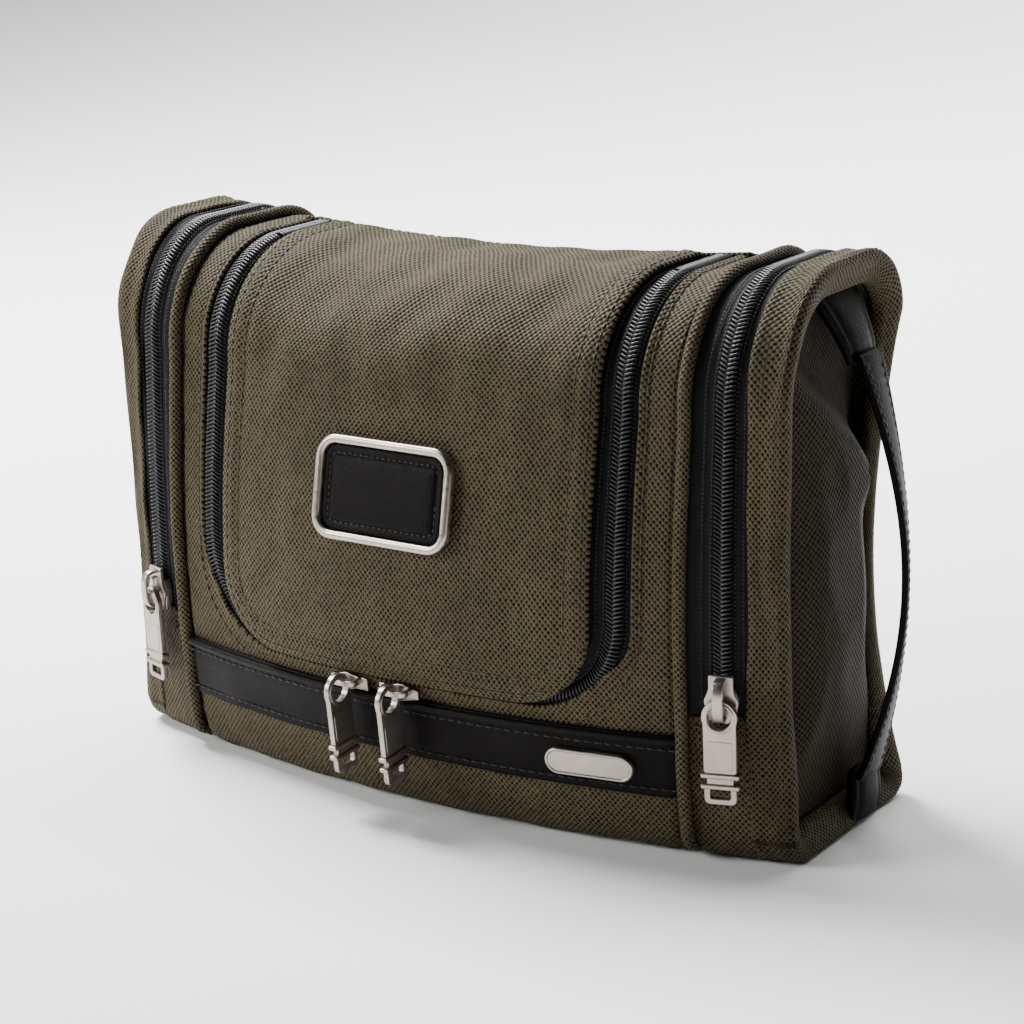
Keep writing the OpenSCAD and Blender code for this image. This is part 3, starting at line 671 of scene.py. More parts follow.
# ---- lid ----------------------------------------------------------------------------------------------
SPLIT_T = 1.93                  # the lid's cloth is two meshes, which meet on the top between the front fold and the rear hinge
HINGE_BACK_T = 3.12             # where the lid's cloth ends, behind the rear hinge
LID_TOP_O = 3.1


def across_fold(obj):
    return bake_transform(obj)


def across_hinge(obj):
    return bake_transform(obj)


def lid_edge(x, t):
    """How far a point of the lid lies inside its edge."""
    s = np.minimum(run(t) - run(front_t(LID_FOOT_Z)), 90.0)
    qx, qs = np.abs(x) - (LID_HALF_W - LID_R), LID_R - s
    outside = np.hypot(np.maximum(qx, 0), np.maximum(qs, 0))
    return LID_R - outside - np.minimum(np.maximum(qx, qs), 0)


def lid_offset(x, t):
    """The lid is tucked at its edge, sewn down in two channels and slack between them and at the top."""
    e, s = lid_edge(x, t), run(t)
    sewn = -0.35 * bell(e - 2.4, 1.1) - 0.55 * bell(e - 8.0, 1.5) + 0.35 * bell(e - 5.2, 1.6)
    patch = ease(np.maximum(np.abs(x) / 36, np.abs(s - run(front_t(PATCH_Z))) / 26), 0.85, 1.3)
    slack = ease(e, 6, 24) * patch * rumple(x, s, 4)
    top = ease(t, 0.9, 1.5) * (1 - ease(t, 2.75, 3.0)) * ease(e, 5, 26)
    dip = top * (1.3 * rumple(x, s, 9, 60.0) - 1.6 * bell(np.abs(x) - 52, 16))
    return LID_TOP_O - 0.5 * bell(e, 1.6) + sewn + 0.6 * slack + dip * (1 - 0.5 * ease(t, 2.4, 3.0))


def lid_rows(e, t_end, pitch):
    """Stations and half widths of the lid's outline, e inside its edge."""
    a = np.linspace(0, np.pi / 2, 17)
    r = LID_R - e
    t_turn = front_t(LID_FOOT_Z + e + r * (1 - np.cos(a)))
    w_turn = LID_HALF_W - e - r + r * np.sin(a)
    leg = stations(float(t_turn[-1]), t_end, pitch)[1:]
    return np.concatenate([t_turn, leg]), np.concatenate([w_turn, 0 * leg + LID_HALF_W - e])


def lid_layer(name, e, t_end, offset, thick, mat, replaces, pitch=1.7, **options):
    t, w = lid_rows(e, t_end, pitch)
    x = w[:, None] * np.linspace(-1, 1, int(2 * LID_HALF_W / pitch))[None]
    t = np.broadcast_to(t[:, None], x.shape)
    obj = finish(slab_on_skin(name, x, t, offset(x, t), thick, **options), mat, None, replaces)
    return across_fold(obj)


def lid_rear_layer(name, e, offset, thick, mat, replaces, pitch=1.7, open_start=False):
    half = LID_HALF_W - e
    x = np.linspace(-half, half, int(2 * LID_HALF_W / pitch))[None]
    t = stations(SPLIT_T, HINGE_BACK_T, pitch)[:, None]
    x, t = np.broadcast_arrays(x, t)
    obj = slab_on_skin(name, x, t, offset(x, t), thick, open_start=open_start)
    return across_hinge(finish(obj, mat, None, replaces))


def rear_lid_offset(x, t):
    """Behind the hinge the lid's cloth dives under the edge of the rear top panel."""
    return lid_offset(x, t) * (1 - ease(t, 2.85, 3.05)) - 1.3 * ease(t, 2.85, 3.05)


def lining_lift(x, t):
    """The lid's lining hangs just under its cloth, wherever the cloth dips."""
    return np.minimum(-0.9, lid_offset(x, t) - 2.2) + 0.25 * rumple(x, run(t), 12, 28.0)


lid_cloth = lid_layer("lid_fabric_front", 0, SPLIT_T, lid_offset, 1.9, fabric, ["lid_front_panel"],
                      open_end=True)
rear_cloth = lid_rear_layer("lid_fabric_top", 0, rear_lid_offset, 1.9, fabric, ["lid_top_panel"],
                            open_start=True)
lid_liner = lid_layer("lid_lining_front", 3.5, SPLIT_T, lining_lift, 0.35, lining_cloth, ["lid_front_lining"])
rear_liner = lid_rear_layer("lid_lining_top", 3.5, lining_lift, 0.35, lining_cloth, ["lid_top_lining"])

for row, inset in enumerate((2.4, 8.0)):
    x, t = lid_curve(inset, SPLIT_T)
    across_fold(stitches(f"lid_stitches_{row}", x, t, lid_offset(x, t) + 0.12, body=None))
    for side, label in ((-1, "left"), (1, "right")):
        t = stations(SPLIT_T, 2.9, 1.8)
        x = 0 * t + side * (LID_HALF_W - inset)
        across_hinge(stitches(f"lid_{label}_top_stitches_{row}", x, t, lid_offset(x, t) + 0.12, body=None))


# ---- zips ---------------------------------------------------------------------------------------------
TOOTH_PITCH = 1.4
TAPE_O = -0.75
COIL_O = 0.15
SUNK = 2.1                      # how deep the foot of the lid's zip lies under the edge of the front


def sunk(x, t):
    """How deep the lid's zip lies under the front's edge: only its foot and its corners are covered."""
    s = run(t) - run(front_t(ZIP_Z))
    reach = np.where(x < 0, 40.0, 22.0)
    return SUNK * (1 - ease(s / reach, 0.25, 1.0))


def strip(name, curve, d0, d1, offset, thick, columns=6, sink=False):
    """A strip along one of the U curves, from distance d0 to d1; offset is a function of distance."""
    ds = np.linspace(d0, d1, columns)
    lines = [curve(d) for d in ds]
    x = np.stack([line[0] for line in lines], 1)
    t = np.stack([line[1] for line in lines], 1)
    o = np.broadcast_to(offset(ds)[None], x.shape) - sink * sunk(x, t)
    p = skin(x, t, o)
    mid = p[:, columns // 2]
    along = lengths(mid)
    uv = np.stack(np.broadcast_arrays(ds[None], along[:, None]), -1)
    return slab(name, p, uv, thick)


def fixed_u(t_end, pitch=1.8):
    """The zip's U at a fixed number of points, whatever the distance."""
    return lambda d: u_curve(ZIP_X + d, ZIP_Z - d, ZIP_R + d, t_end, pitch, 26, 60)


def straight(side, x_mid, t0, t1, pitch=1.8):
    """An upright line at distance d outside x_mid."""
    t = stations(t0, t1, pitch)
    if side < 0:
        return lambda d: (0 * t - x_mid - d, t[::-1])
    return lambda d: (0 * t + x_mid + d, t)


def tape_height(inner_lift=0.25):
    return lambda d: TAPE_O + inner_lift * bell(np.abs(d) - 3.9, 0.7) - 0.12 * bell(np.abs(d) - 6.2, 1.0)


def tooth_template(sign):
    """One turn of the coil as it shows: a slanted bar from its sewn root to its head past the middle."""
    return rod_template([(0.85, sign * 3.4, -0.75, 0.30, 0.5), (0.72, sign * 3.1, 0.2, 0.44, 0.6),
                         (0.35, sign * 2.1, 0.46, 0.42, 0.6), (0.0, sign * 1.1, 0.42, 0.45, 0.6),
                         (-0.3, sign * 0.25, 0.46, 0.66, 0.66), (-0.42, -sign * 0.5, 0.2, 0.6, 0.5),
                         (-0.46, -sign * 0.85, -0.3, 0.2, 0.2)], sides=8)


def teeth(name, curve, sign, shift, body, replaces=(), sink=False):
    """One side of a coil: sign is +1 for the side away from the middle of the bag."""
    x, t = curve(0)
    p = skin(x, t, COIL_O - sink * sunk(x, t))
    p, n = even_path(p, path_normals(x, t), TOOTH_PITCH, 0.5 + shift, 0.5)
    tangent, side, normal = frames_along(p, n)
    verts, faces = tooth_template(sign)
    obj = scatter(name, verts, faces, p, tangent, -side, normal)
    return finish(obj, coil_gloss, body, replaces)


def coil_seams(name, curve, distances, body, mat, sink=False):
    """Rows of small stitches that hold the coil to its tape."""
    made = []
    for k, d in enumerate(distances):
        x, t = curve(d)
        p, n = even_path(skin(x, t, TAPE_O + 0.55 - sink * sunk(x, t)), path_normals(x, t), TOOTH_PITCH)
        made.append(stitch_row(f"{name}_{k}", p, n, 1.05, 0.26, body, mat))
    return made


outer_u, inner_front_u = fixed_u(3.04), fixed_u(SPLIT_T)
outer_tape = strip("lid_zip_outer_tape_cloth", outer_u, 0.35, 8.6, tape_height(), 0.6, sink=True)
finish(outer_tape, tape_cloth, "bag", ["lid_zip_outer_tape"])
inner_tape = strip("lid_zip_front_tape_cloth", inner_front_u, -10.5, -0.35, tape_height(), 0.6, 7, sink=True)
across_fold(finish(inner_tape, tape_cloth, None, ["lid_front_zip_tape"]))
teeth("lid_zip_outer_teeth", outer_u, 1, 0.0, "bag", ["lid_zip_outer_coil"], sink=True)
across_fold(teeth("lid_zip_front_teeth", inner_front_u, -1, 0.5, None, ["lid_front_zip_coil"], sink=True))
coil_seams("lid_zip_outer_seam", outer_u, (3.75, 6.6), "bag", thread_black, sink=True)
for seam in coil_seams("lid_zip_front_seam", inner_front_u, (-3.75, -6.6), None, thread_black, sink=True):
    across_fold(seam)

for side, label in ((-1, "left"), (1, "right")):
    upper = straight(side, ZIP_X, SPLIT_T, 3.0)
    tape = strip(f"lid_zip_{label}_top_tape_cloth", upper, -10.5, -0.35, tape_height(), 0.6, 7)
    across_hinge(finish(tape, tape_cloth, None, ["lid_top_zip_tape"]))
    across_hinge(teeth(f"lid_zip_{label}_top_teeth", upper, -1, 0.5, None, ["lid_top_zip_coil"]))
    for seam in coil_seams(f"lid_zip_{label}_top_seam", upper, (-3.75, -6.6), None, thread_black):
        across_hinge(seam)

    upright = straight(side, END_ZIP_X, float(front_t(TAPE_FOOT_Z)), 4.0)
    for name, d0, d1 in (("inner", -12.8, -0.3), ("outer", 0.3, 9.6)):
        tape = strip(f"{label}_zip_{name}_tape_cloth", upright, d0, d1, tape_height(), 0.6, 8)
        finish(tape, tape_cloth, "bag", [f"{label}_zip_tape"] if name == "inner" else ())
    pocket_zip = straight(side, END_ZIP_X, float(front_t(TEETH_FOOT_Z)), 3.95)
    teeth(f"{label}_zip_outer_teeth", pocket_zip, 1, 0.0, "bag", [f"{label}_zip_coil"])
    teeth(f"{label}_zip_inner_teeth", pocket_zip, -1, 0.5, "bag")
    coil_seams(f"{label}_zip_seam", pocket_zip, (-3.75, 3.75, -6.6, 6.4), "bag", thread_black)


# ---- fabric walls --------------------------------------------------------------------------------------
FOOT_T = -0.66                  # where the front's fabric meets the bottom, under the bag's lower edge


def front_fabric():
    """One U-shaped piece from the lid's zip out to the welts, folded in where it meets the zip's tape."""
    curve = fixed_u(4.03)
    (x_in, t_in), (x_near, t_near) = curve(5.9), curve(1.5)
    covered = sunk(x_in, t_in) / SUNK
    x_in, t_in = x_in + (x_near - x_in) * covered, t_in + (t_near - t_in) * covered
    wide, centre_x = PIPING_X - 0.6, ZIP_X - ZIP_R
    s_in, s_centre, s_foot = run(t_in), run(front_t(ZIP_Z + ZIP_R)), float(run(FOOT_T))
    dx, ds = np.abs(x_in) - centre_x, s_centre - s_in
    with np.errstate(divide="ignore"):
        k = np.minimum((wide - centre_x) / np.maximum(dx, 1e-6), (s_centre - s_foot) / np.maximum(ds, 1e-6))
    turn = (dx > 0) & (ds > 0)
    corner_x = np.where(turn, np.sign(x_in) * (centre_x + dx * k), x_in)
    x_out = np.where(ds <= 0, np.sign(x_in) * wide, corner_x)
    s_out = np.where(ds <= 0, s_in, np.where(turn, s_centre - ds * k, s_foot))
    u = np.linspace(0, 1, 26)[None] ** 1.15
    x = x_in[:, None] * (1 - u) + x_out[:, None] * u
    s = s_in[:, None] * (1 - u) + s_out[:, None] * u
    from_edge = np.hypot(x - x_in[:, None], s - s_in[:, None])
    o = (0.75 * bell(from_edge, 1.7) - 0.35 * bell(from_edge - 2.6, 0.9)
         - 1.5 * bell(np.abs(x) - PIPING_X + 1.5, 2.2)
         + 0.4 * rumple(x, s, 21, 30.0) * ease(from_edge, 3, 12))
    return slab_on_skin("front_fabric", x, at_run(s), o, 1.6)


walls = [finish(front_fabric(), fabric, "bag", ["front_panel"])]
x, t = fixed_u(4.0)(8.2)
stitches("front_zip_stitches", x, t, 0.1, body="bag")


def back_offset(x, s):
    from_rim = RIM_X - np.abs(x)
    return 0.1 + 0.7 * rumple(x, s, 31, 60.0) * ease(from_rim, 0, 25) - 0.5 * bell(from_rim - 1, 3)


def under_offset(x, s):
    return -0.5 - 0.3 * (1 + rumple(x, s, 33, 50.0))


back = panel("back_fabric", -RIM_X - 1, RIM_X + 1, 3.97, 5.45, back_offset, 1.6, 3.0)
walls.append(finish(back, fabric, "bag", ["back_panel"]))
bottom = panel("bottom_fabric", -RIM_X - 1, RIM_X + 1, 5.38, 7.5, under_offset, 1.4, 3.0)
walls.append(finish(bottom, fabric, "bag", ["bottom_panel"]))


def rear_top_offset(x, s):
    from_edge = s - run(3.0)
    return 0.3 + 1.2 * bell(from_edge, 2.2) + 0.35 * rumple(x, s, 35, 40.0) * ease(from_edge, 3, 12)


rear_top = panel("rear_top_fabric", -93, 93, 3.0, 4.02, rear_top_offset, 1.5, 2.0)
walls.append(finish(rear_top, fabric, "bag", ["rear_top_panel"]))
x = np.linspace(-91, 91, 120)
stitches("rear_top_stitches", x, 0 * x + at_run(run(3.0) + 3.2), 0.75)
seam_x = np.linspace(-RIM_X, RIM_X, 150)
finish(tube("back_seam_welt", skin(seam_x, 0 * seam_x + 4.0, 0.9), 1.7, 12), piping_cloth, "bag")


def welt(side, label):
    """The rolled fold of fabric beside the end pocket, which turns under at the foot."""
    t = np.concatenate([stations(FOOT_T, 0.0, 1.6)[:-1], stations(0.0, 4.02, 2.0)])
    s = run(t)
    o = 0.9 - 3.2 * (1 - ease(t, FOOT_T, -0.1)) + 0.3 * rumple(0 * s, s, 40 + side, 36.0)
    o = o - 1.6 * ease(t, 3.9, 4.02)
    x = PIPING_X + 0.25 * rumple(0 * s + 9, s, 44 + side, 50.0)
    path = skin(x, t, o)
    a = np.linspace(0, 2 * np.pi, 16, endpoint=False)
    n = path_normals(x, t)
    tangent, across, normal = frames_along(path, n)
    wide, high = 2.35, 2.0
    ring = (normal[:, None] * (high * np.sin(a))[None, :, None]
            - across[:, None] * (wide * np.cos(a))[None, :, None])
    verts = (path[:, None] + ring).reshape(-1, 3)
    uv = np.stack(np.broadcast_arrays((a * high)[None], s[:, None]), -1).reshape(-1, 2)
    faces = grid_faces(len(path), len(a), wrap_cols=True) + caps(len(path), len(a))
    obj = make(f"{label}_welt", verts, faces, uv, mirror=side < 0)
    finish(obj, piping_cloth, "bag", [f"{label}_piping"])
    line = stations(0.02, 3.9, 1.8)
    stitches(f"{label}_welt_stitches", 0 * line + side * (PIPING_X - 4.6), line, -0.55)


RIM_PROFILE = np.array([
    (1.6, -1.4), (-0.2, -1.1), (-1.7, -0.2), (-1.7, 0.8), (-0.4, 1.45), (1.0, 1.1), (2.2, 0.25), (4.0, 0.35),
    (6.5, 0.55), (8.6, 0.9), (10.0, 0.5), (11.4, 0.7), (12.5, 0.1), (12.9, -1.4), (12.6, -3.4), (11.6, -5.8),
    (9.8, -8.2), (7.6, -9.8), (4.4, -10.6), (3.6, -9.2), (7.2, -7.2), (9.8, -4.6), (10.6, -2.6), (9.4, -1.7),
    (5.0, -1.7)]) + [RIM_X, 0]
RIM_SEAMS = ((2.3, 0.1), (10.0, 0.35))


def rim_section():
    """The rim's cross-section at points about a millimetre apart, with its corners softened."""
    closed = np.vstack([RIM_PROFILE, RIM_PROFILE[:1]])
    fine = []
    for a, b in zip(closed[:-1], closed[1:]):
        n = max(1, int(np.hypot(*(b - a)) / 1.0))
        fine += [a + (b - a) * i / n for i in range(n)]
    profile = np.array(fine)
    for _ in range(2):
        profile = (np.roll(profile, 1, 0) + 2 * profile + np.roll(profile, -1, 0)) / 4
    return profile


def rim(side, label):
    """The end band: folded over on the zip's tape inside, and turned in around the end wall outside."""
    t = stations(0, TURN, 2.0)[:-1]
    s = run(t)
    profile = rim_section()
    length = lengths(profile)
    px, po = profile[None, :, 0], profile[None, :, 1]
    ss = s[:, None]
    outer = ease(po, -2.5, 0.2)
    free = outer
    for seam, _ in RIM_SEAMS:
        free = free * (1 - bell(px - RIM_X - seam, 1.5))
    under = (ss > run(5)) | (ss < 0)
    upper = ease(t, 0.6, 1.3)[:, None] * (1 - ease(t, 4.0, 4.6))[:, None]
    inner_edge = 1 - ease(px, RIM_X + 1, RIM_X + 6)
    outer_edge = ease(px, RIM_X + 7, RIM_X + 12)
    x = px + inner_edge * (0.7 + 0.9 * upper) * rumple(0 * ss, ss, 52 + side, 40.0)
    x = x - outer_edge * (0.5 + 0.8 * upper) * (1 + rumple(0 * ss + 5, ss, 56 + side, 52.0))
    o = po + 0.6 * rumple(px, ss, 50 + side, 30.0) * free - 0.6 * outer * under
    x, tt, o = np.broadcast_arrays(np.minimum(x, HALF_W - 0.1), t[:, None], o)
    p = skin(x, tt, o)
    p[..., 2] = np.maximum(p[..., 2], 0.0)
    uv = np.stack(np.broadcast_arrays(length[None], ss), -1).reshape(-1, 2)
    obj = make(f"{label}_rim_fabric", p.reshape(-1, 3),
               grid_faces(len(t), p.shape[1], wrap_rows=True, wrap_cols=True), uv, mirror=side < 0)
    finish(obj, fabric, "bag", [f"{label}_rim"])
    line = stations(0.0, 5.0, 1.8)
    for row, (dx, o) in enumerate(RIM_SEAMS):
        stitches(f"{label}_rim_stitches_{row}", 0 * line + side * (RIM_X + dx - 0.8 * row), line, o)
    return obj


def end_wall(side, label):
    """The pillowed end of the bag, slack and hollow at the top behind the strap."""
    t = stations(0, TURN, 2.6)[:-1]
    outline = skin(HALF_W - 6, t, -4.0)[:, 1:]
    centre = np.array([-2.0, 92.0])
    k = np.linspace(1.0, 0.02, 30)[:, None]
    yz = centre + (outline[None] - centre) * k[..., None]
    y, z = yz[..., 0], yz[..., 1]
    bulge = 8.4 * (1 - k ** 2.6) ** 1.3 - 3.0 * bell(y - 24, 12) * slack(z) * (1 - k ** 6)
    beyond = (y + 32) * 0.672 + (z - 160) * 0.74
    hollow = 9.0 * ease(beyond, 0, 15) * (1 - k ** 6) + 3.0 * (1 - ease(z, 14, 48)) * (1 - k ** 8)
    pleat = 1.7 * bell(beyond + 3, 5) * (1 - k ** 4)
    creases = 0.9 * rumple(y * 1.3, z, 60 + side, 42.0) * (1 - k ** 4)
    x = HALF_W - 8.4 + bulge - hollow + pleat + creases - k ** 4 * fall_x(y, z)
    outer = np.concatenate([np.minimum(x, HALF_W - 0.5)[..., None], yz], -1)
    inner = outer - np.array([1.5, 0, 0])
    rows, cols = outer.shape[:2]
    verts = np.concatenate([outer.reshape(-1, 3), inner.reshape(-1, 3)])
    size = rows * cols
    faces = grid_faces(rows, cols, wrap_cols=True, flip=True)
    faces += grid_faces(rows, cols, wrap_cols=True, start=size)
    faces += [((j + 1) % cols, j, size + j, size + (j + 1) % cols)[::-1] for j in range(cols)]
    faces.append(tuple(range(size - cols, size))[::-1])
    faces.append(tuple(range(2 * size - cols, 2 * size)))
    obj = make(f"{label}_end_fabric", verts, [f[::-1] for f in faces], np.tile(yz.reshape(-1, 2), (2, 1)),
               mirror=side < 0)
    # the end wall's cloth is the copy of the nylon with painted shade
    return finish(obj, shaded_end_cloth, "bag", [f"{label}_side_panel"])


def pocket_foot(side, label):
    """The fabric below an end pocket's zip, and the fold of fabric over the zip's foot."""
    def offset(x, s):
        from_top = run(front_t(POCKET_Z)) - s
        return (0.25 + 0.5 * bell(from_top, 1.5) - 0.9 * bell(x - PIPING_X - 2, 1.6)
                + 0.2 * rumple(x, s, 70 + side, 22.0) * ease(from_top, 2, 8))
    obj = panel(f"{label}_pocket_fabric", PIPING_X - 0.5, RIM_X + 1, FOOT_T, float(front_t(POCKET_Z)),
                offset, 1.5, 1.6, mirror=side < 0)
    finish(obj, fabric, "bag", [f"{label}_pocket_front"])
    x = np.linspace(PIPING_X + 3, RIM_X - 2, 12)
    stitches(f"{label}_pocket_stitches", side * x, 0 * x + front_t(POCKET_Z - 2.6), 0.5)

    def tab(x, s):
        return 1.25 - 0.4 * bell(np.abs(x - END_ZIP_X) - 6, 1.2) + 0 * s
    low, high = front_t(np.array(FOOT_TAB_Z))
    obj = panel(f"{label}_zip_foot_tab", END_ZIP_X - 6, END_ZIP_X + 6, float(low), float(high), tab, 0.9, 0.9,
                mirror=side < 0)
    finish(obj, piping_cloth, "bag", [f"{label}_zip_end_tab"])


for side, label in ((-1, "left"), (1, "right")):
    welt(side, label)
    walls.append(rim(side, label))
    walls.append(end_wall(side, label))
    pocket_foot(side, label)


# ---- leather trim ----------------------------------------------------------------------------------------
BAND_X = PIPING_X - 1.2


def band_offset(x, s):
    low, high = run(front_t(BAND_Z[0])), run(front_t(BAND_Z[1]))
    sewn = -0.4 * bell(s - low - 2.4, 1.0) - 0.35 * bell(s - high + 4.6, 1.0)
    ends = -1.6 * bell(BAND_X - np.abs(x), 2.4)
    return 1.55 + sewn + ends + 0.18 * rumple(x, s, 80, 26.0)


low, high = [float(front_t(z)) for z in BAND_Z]
band = panel("leather_band_strap", -BAND_X, BAND_X, low, high, band_offset, 1.4, 1.3)
finish(band, leather_skin, "bag", ["leather_band"])
x = np.linspace(-BAND_X, BAND_X, 150)
lift = 2.1 - 1.6 * bell(BAND_X - np.abs(x), 2.4)
roll = tube("leather_band_roll", front(x, BAND_Z[1] - 1.3, lift), 1.15, 14)
finish(roll, edge_leather, "bag", ["band_edge_roll"])
x = np.linspace(-BAND_X + 1, BAND_X - 1, 150)
for row, z in enumerate((BAND_Z[0] + 2.4, BAND_Z[1] - 4.6)):
    stitches(f"band_stitches_{row}", x, 0 * x + front_t(z), 1.3, mat=thread_black)


# ---- metal fittings ----------------------------------------------------------------------------------------
def placed(x, z, o):
    """Axes of a fitting on the front: X along the bag, Y up it, Z out of it, in metres."""
    slope_x = 2 * x / HALF_W ** 2 * float(swell(z))
    slope_z = float(front_y(x, z + 1) - front_y(x, z - 1)) / 2
    turn = Matrix.Rotation(math.atan(slope_x), 4, "Z") @ Matrix.Rotation(-math.atan(slope_z), 4, "X")
    out = turn @ Vector((0, -1, 0))
    up, right = turn @ Vector((0, 0, 1)), turn @ Vector((1, 0, 0))
    base = Vector((x, float(front_y(x, z)), z)) + out * o
    return Matrix(((right.x, up.x, out.x, base.x * MM), (right.y, up.y, out.y, base.y * MM),
                   (right.z, up.z, out.z, base.z * MM), (0, 0, 0, 1)))


def solid(name, outline, depth, bevel, holes=(), z=0.0, matrix=None, steps=3):
    """A plate with rounded edges from an outline and its holes, from z to z + depth, in millimetres."""
    curve = bpy.data.curves.new(name, "CURVE")
    curve.dimensions, curve.fill_mode = "2D", "BOTH"
    for points in (outline, *holes):
        spline = curve.splines.new("POLY")
        spline.points.add(len(points) - 1)
        for point, (x, y) in zip(spline.points, points):
            point.co = (x * MM, y * MM, 0, 1)
        spline.use_cyclic_u = True
    curve.extrude = (depth / 2 - bevel) * MM
    curve.bevel_depth, curve.offset, curve.bevel_resolution = bevel * MM, -bevel * MM, steps
    obj = bpy.data.objects.new(name, curve)
    bpy.context.scene.collection.objects.link(obj)
    mesh = bpy.data.meshes.new_from_object(obj.evaluated_get(bpy.context.evaluated_depsgraph_get()))
    bpy.data.objects.remove(obj)
    mesh.name = name
    mesh.transform(Matrix.Translation((0, 0, (z + depth / 2) * MM)))
    if matrix is not None:
        mesh.transform(matrix)
    obj = bpy.data.objects.new(name, mesh)
    bpy.context.scene.collection.objects.link(obj)
    return smooth_by_angle(obj)


def smooth_by_angle(obj, degrees=35):
    mesh = obj.data
    mesh.polygons.foreach_set("use_smooth", [True] * len(mesh.polygons))
    mesh.set_sharp_from_angle(angle=math.radians(degrees))
    return obj


def join(name, objs):
    """One object from several, which are moved into it."""
    with bpy.context.temp_override(active_object=objs[0], selected_editable_objects=objs, object=objs[0],
                                   selected_objects=objs):
        bpy.ops.object.join()
    objs[0].name = objs[0].data.name = name
    return objs[0]


def arc(cx, cy, r, a0, a1, n=12):
    return [(cx + r * math.cos(a), cy + r * math.sin(a)) for a in np.radians(np.linspace(a0, a1, n))]


def rounded(w, h, r, n=10):
    x, y = w / 2 - r, h / 2 - r
    corners = ((x, y), (-x, y), (-x, -y), (x, -y))
    return [q for k, c in enumerate(corners) for q in arc(*c, r, 90 * k, 90 * k + 90, n)]


def shifted(points, dx=0.0, dy=0.0):
    return [(x + dx, y + dy) for x, y in points]


def frame_sweep(name, w, h, r, profile, matrix):
    """A cross-section of (inset, height) points carried around a rounded rectangle."""
    loops = [[(x, y, z) for x, y in rounded(w - 2 * i, h - 2 * i, max(r - i, 0.3), 14)] for i, z in profile]
    verts = np.array([p for loop in loops for p in loop])
    obj = make(name, verts, grid_faces(len(loops), len(loops[0]), wrap_rows=True, wrap_cols=True, flip=True),
               verts[:, :2])
    obj.data.transform(matrix)
    return smooth_by_angle(obj, 50)


def leather_insert(name, w, h, r, matrix):
    """A padded leather plate with a sewn border sunk around its edge."""
    rings = [(0.0, 0.2), (0.15, 0.9), (0.5, 1.3), (1.2, 1.5), (2.2, 1.5), (2.7, 1.2), (3.1, 1.2), (3.6, 1.6),
             (4.6, 1.85), (6.5, 1.95), (9.0, 2.0), (11.5, 2.0)]
    loops = [[(x, y, z) for x, y in rounded(w - 2 * i, h - 2 * i, max(r - i, 0.5), 12)] for i, z in rings]
    verts = np.array([p for loop in loops for p in loop])
    m = len(loops[0])
    faces = grid_faces(len(loops), m, wrap_cols=True) + caps(len(loops), m)
    obj = make(name, verts, faces, verts[:, :2])
    obj.data.transform(matrix)
    return obj


patch_at = placed(0, PATCH_Z, 3.3)
bar = [(0.0, 0.3), (0.0, 1.9), (0.25, 2.5), (0.8, 2.85), (1.5, 2.9), (2.3, 2.8), (2.75, 2.5), (2.95, 2.0),
       (3.0, 0.3), (2.6, 0.0), (0.4, 0.0)]
frame_bar = frame_sweep("patch_frame_bar", *PATCH_SIZE, 8.0, bar, patch_at)
finish(frame_bar, nickel_frame, "lid_front", ["patch_frame"])
insert = leather_insert("patch_leather_insert", PATCH_SIZE[0] - 6.1, PATCH_SIZE[1] - 6.1, 5.0, patch_at)
finish(insert, leather_skin, "lid_front", ["patch_leather"])
border = rounded(PATCH_SIZE[0] - 11.9, PATCH_SIZE[1] - 11.9, 3.0, 8) + [(PATCH_SIZE[0] / 2 - 5.95, 0)]
border = np.array([patch_at @ Vector((x * MM, y * MM, 1.25 * MM)) for x, y in border]) / MM
facing = np.tile(np.array(patch_at.to_3x3() @ Vector((0, 0, 1))), (len(border), 1))
p, n = even_path(border, facing, 2.3)
stitch_row("patch_stitches", p, n, 1.7, 0.24, "lid_front", thread_black)

badge_at = placed(74, 31, 1.7)
w, h = 31.0, 9.5
badge_rim = [(0, 0), (0, 1.3), (0.2, 1.75), (0.55, 1.95), (0.95, 1.85), (1.2, 1.55), (1.2, 0.6), (1.0, 0)]
badge = frame_sweep("badge_rim", w, h, h / 2 - 0.01, badge_rim, badge_at)
plate = solid("badge_plate", rounded(w - 2.2, h - 2.2, h / 2 - 1.11, 12), 1.6, 0.12, matrix=badge_at)
finish(join("badge_blank", [badge, plate]), nickel_frame, "bag", ["oval_badge"])


# ---- sliders and pulls ------------------------------------------------------------------------------------
def slider_outline(w, l):
    right = [(0.34 * w, l), (0.365 * w, l - 0.6), (0.365 * w, l - 4.6), (0.43 * w, l - 6.6),
             (0.5 * w, l - 8.2), (0.5 * w, l - 9.4), (0.44 * w, l - 11), (0.33 * w, l - 14),
             (0.28 * w, 0.4 - l), (0.24 * w, -l)]
    return right + [(-x, y) for x, y in right[::-1]]


def bent_strip(name, path, width, thick, matrix):
    """A flat strap bent along a line of (along, out) points, with rounded edges."""
    path = np.array(path, float)
    for _ in range(3):
        a, b = path[:-1], path[1:]
        cut = np.stack([(a * 3 + b) / 4, (a + b * 3) / 4], 1).reshape(-1, 2)
        path = np.vstack([path[:1], cut, path[-1:]])
    tangent = unit(np.gradient(path, axis=0))
    n = np.stack([-tangent[:, 1], tangent[:, 0]], -1)
    section_pts = rounded(width, thick, thick * 0.35, 4)
    verts = [(a, p[0] + q[0] * b, p[1] + q[1] * b) for p, q in zip(path, n) for a, b in section_pts]
    m = len(section_pts)
    faces = grid_faces(len(path), m, wrap_cols=True) + caps(len(path), m)
    obj = make(name, np.array(verts), faces, np.array(verts)[:, :2])
    obj.data.transform(matrix)
    return smooth_by_angle(obj, 40)


SLIDER_L = 8.0
PLATE_IN = 2.0


